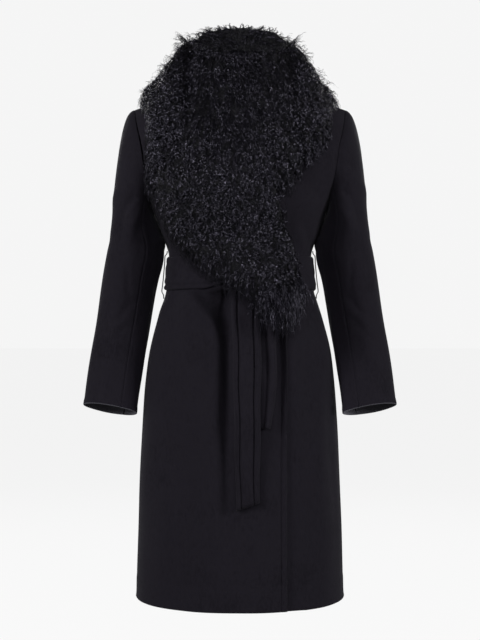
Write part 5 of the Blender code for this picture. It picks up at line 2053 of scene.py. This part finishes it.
# %% Roots on a grid
def draw_roots(skin, ways, count, weights):
    """Random roots on a grid of points: places, normals, directions along its rows, and rows and columns."""
    area = cell_areas(skin) * weights[:-1, :-1]
    locks = count // PER_LOCK
    share = np.cumsum((area / area.sum()).reshape(-1))
    picked = np.minimum(np.searchsorted(share, (np.arange(locks) + random.random(locks)) / locks), area.size - 1)
    random.shuffle(picked)
    k, i = np.divmod(picked, area.shape[1])
    u, v = random.random((2, locks))
    root = (skin[k, i] * ((1 - u) * (1 - v))[:, None] + skin[k + 1, i] * (u * (1 - v))[:, None]
            + skin[k, i + 1] * ((1 - u) * v)[:, None] + skin[k + 1, i + 1] * (u * v)[:, None])
    flow = unit(np.gradient(skin, axis=1))[k, i]
    return (np.repeat(root, PER_LOCK, axis=0), np.repeat(ways[k, i], PER_LOCK, axis=0),
            np.repeat(flow, PER_LOCK, axis=0), np.repeat(k, PER_LOCK), np.repeat(i, PER_LOCK))


print("roots are drawn in locks of:", PER_LOCK)

# %% [markdown]
# The fleece isn't one kind of hair. Short tight curls cover the fall of the collar, longer waves are combed out round
# the neck, limp locks hang from the edge and the tip, and a few loose wisps stand off. Each kind is a row of measures.

# %% Kinds of hair
MEASURES = ("length", "lift", "curl", "swing", "stray", "width", "droop", "dull", "lean")
STRAIGHT = np.zeros(3)


def kind(*numbers):
    """A kind of hair by its measures, in metres and shares."""
    return dict(zip(MEASURES, numbers))


CURLY = kind(0.0170, 0.0072, 0.0084, 0.0025, 0.95, 0.0010, 0.10, 0, STRAIGHT)
LONG_WAVY = kind(0.038, 0.006, 0.0135, 0.0018, 0.30, 0.0010, 0.10, 1, STRAIGHT)
HANGING = kind(0.024, 0.006, 0.0100, 0.0018, 0.35, 0.0010, 0.45, 1, STRAIGHT)
WISPS = kind(0.030, 0.019, 0.0150, 0.0016, 1.10, 0.0007, 0.00, 0, STRAIGHT)
RIM = kind(0.020, 0.007, 0.0120, 0.0012, 0.70, 0.0010, 0.25, 1, STRAIGHT)
TIP = kind(0.037, 0.005, 0.0120, 0.0020, 0.25, 0.0011, 0.50, 1, np.array((0.50, -0.62, -0.30)))
AROUND = kind(0.026, 0.004, 0.0110, 0.0010, 0.40, 0.0010, 0.10, 1, STRAIGHT)
print("a curl is:", CURLY["length"], "m long")

# %% [markdown]
# Each stretch of the collar grows its hairs in portions. Where a kind may stand is a weight between 0 and 1 for each
# place. The lining gets hairs that lie round the neck, and the front edge gets some of its own.

# %% Growing a stretch
def batch(style, skin, ways, count, weights, way=1):
    """Hairs of one kind on a grid, along its rows or against them."""
    roots, normals, flows, k, i = draw_roots(skin, ways, count, weights)
    return hair_paths(roots, normals, unit(flows * way + style["lean"]), style)


LINING_PORTION = 0.12
EDGE_HAIRS = (
    # kind, number, share of the edge where they start
    (HANGING, 420, 0.0), (CURLY, 480, 0.42), (TIP, 300, 0.84),
)


def grow(name, side, count, low_k, high_k):
    """Hairs on a run of rows of one half, kind by kind, as one piece."""
    pelt, skin, ways, lining, lining_ways, front_edge, edge_ways = pelts[side]
    stretch = slice(low_k, high_k + 1)
    part, part_ways, inside, inside_ways = skin[stretch], ways[stretch], lining[stretch], lining_ways[stretch]
    batches = []
    across = np.broadcast_to(np.linspace(0, 1, part.shape[1])[None, :], part.shape[:2])
    edge = rising(across, 0.86, 0.06)
    top = rising(across, 0.56, -0.26)
    rim = rising(across, 0.10, -0.04)
    round_neck = np.linspace(low_k, high_k, part.shape[0])[:, None] / (skin.shape[0] - 1)
    crown = rising(round_neck, 0.18, 0.10) * rising(round_neck, 0.68, -0.10)
    tip = rising(round_neck, 0.950, 0.03) * (round_neck < 0.998)
    portions = (
        # kind, share of the hairs, where they stand, along the fall or against it
        (CURLY, 0.53, (1 - edge) * (1 - 0.85 * top), 1),
        (LONG_WAVY, 0.23, top, 1),
        (HANGING, 0.14, edge, 1),
        (WISPS, 0.05, (1 - edge) * (0.1 + crown), 1),
        (RIM, 0.05, rim + 0 * round_neck, -1),
        (TIP, 0.10, edge * tip, 1),
    )
    for style, portion, weights, way in portions:
        if style is TIP and (side == "left" or tip.max() == 0):
            continue
        batches.append(batch(style, part, part_ways, int(count * portion), weights, way))
    near = np.broadcast_to(np.linspace(0, 1, inside.shape[1])[None, :] ** 1.5, inside.shape[:2])
    roots, normals, flows, k, i = draw_roots(inside, inside_ways, int(count * LINING_PORTION), near)
    around = unit(np.gradient(inside, axis=0))[k, i]
    batches.append(hair_paths(roots, normals, unit(around + flows * 0.45), AROUND))
    if high_k == skin.shape[0] - 1 and side == "right":
        places = np.broadcast_to(np.linspace(0, 1, front_edge.shape[1]), front_edge.shape[:2])
        for style, number, start in EDGE_HAIRS:
            batches.append(batch(style, front_edge, unit(edge_ways), number, 1.0 * (places >= start)))
    return hair_mesh(name, batches, "collar_" + side)


print("hairs along the front edge:", sum(row[1] for row in EDGE_HAIRS))

# %% [markdown]
# The fleece is grown in five stretches, from the middle of the back to the front, so that none of its meshes gets too
# large to handle.

# %% Fleece
STRETCHES = (
    # name, side, hairs, share where it starts, share where it ends
    ("collar_right_hairs_back", "right", 4700, 0.0, 0.46),
    ("collar_right_hairs_shoulder", "right", 5200, 0.46, 0.80),
    ("collar_right_hairs_front", "right", 6200, 0.80, 1.0),
    ("collar_left_hairs_back", "left", 3500, 0.0, 0.48),
    ("collar_left_hairs_front", "left", 4000, 0.48, 1.0),
)
for name, side, count, start, end in STRETCHES:
    last = pelts[side][1].shape[0] - 1
    grow(name, side, count, int(last * start), int(last * end))
print("stretches of fleece:", len(STRETCHES))

# %% [markdown]
# The last line prints how many pieces were made, and their triangles in all and in the largest one.

# %% Finish
def triangles(piece):
    """Number of triangles of a piece."""
    return sum(len(face.vertices) - 2 for face in piece.data.polygons)


made = [o for o in scene.objects if o.type == "MESH" and "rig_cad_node" not in o and o is not floor]
print("pieces:", len(made), "triangles:", sum(triangles(o) for o in made), "most:", max(triangles(o) for o in made))
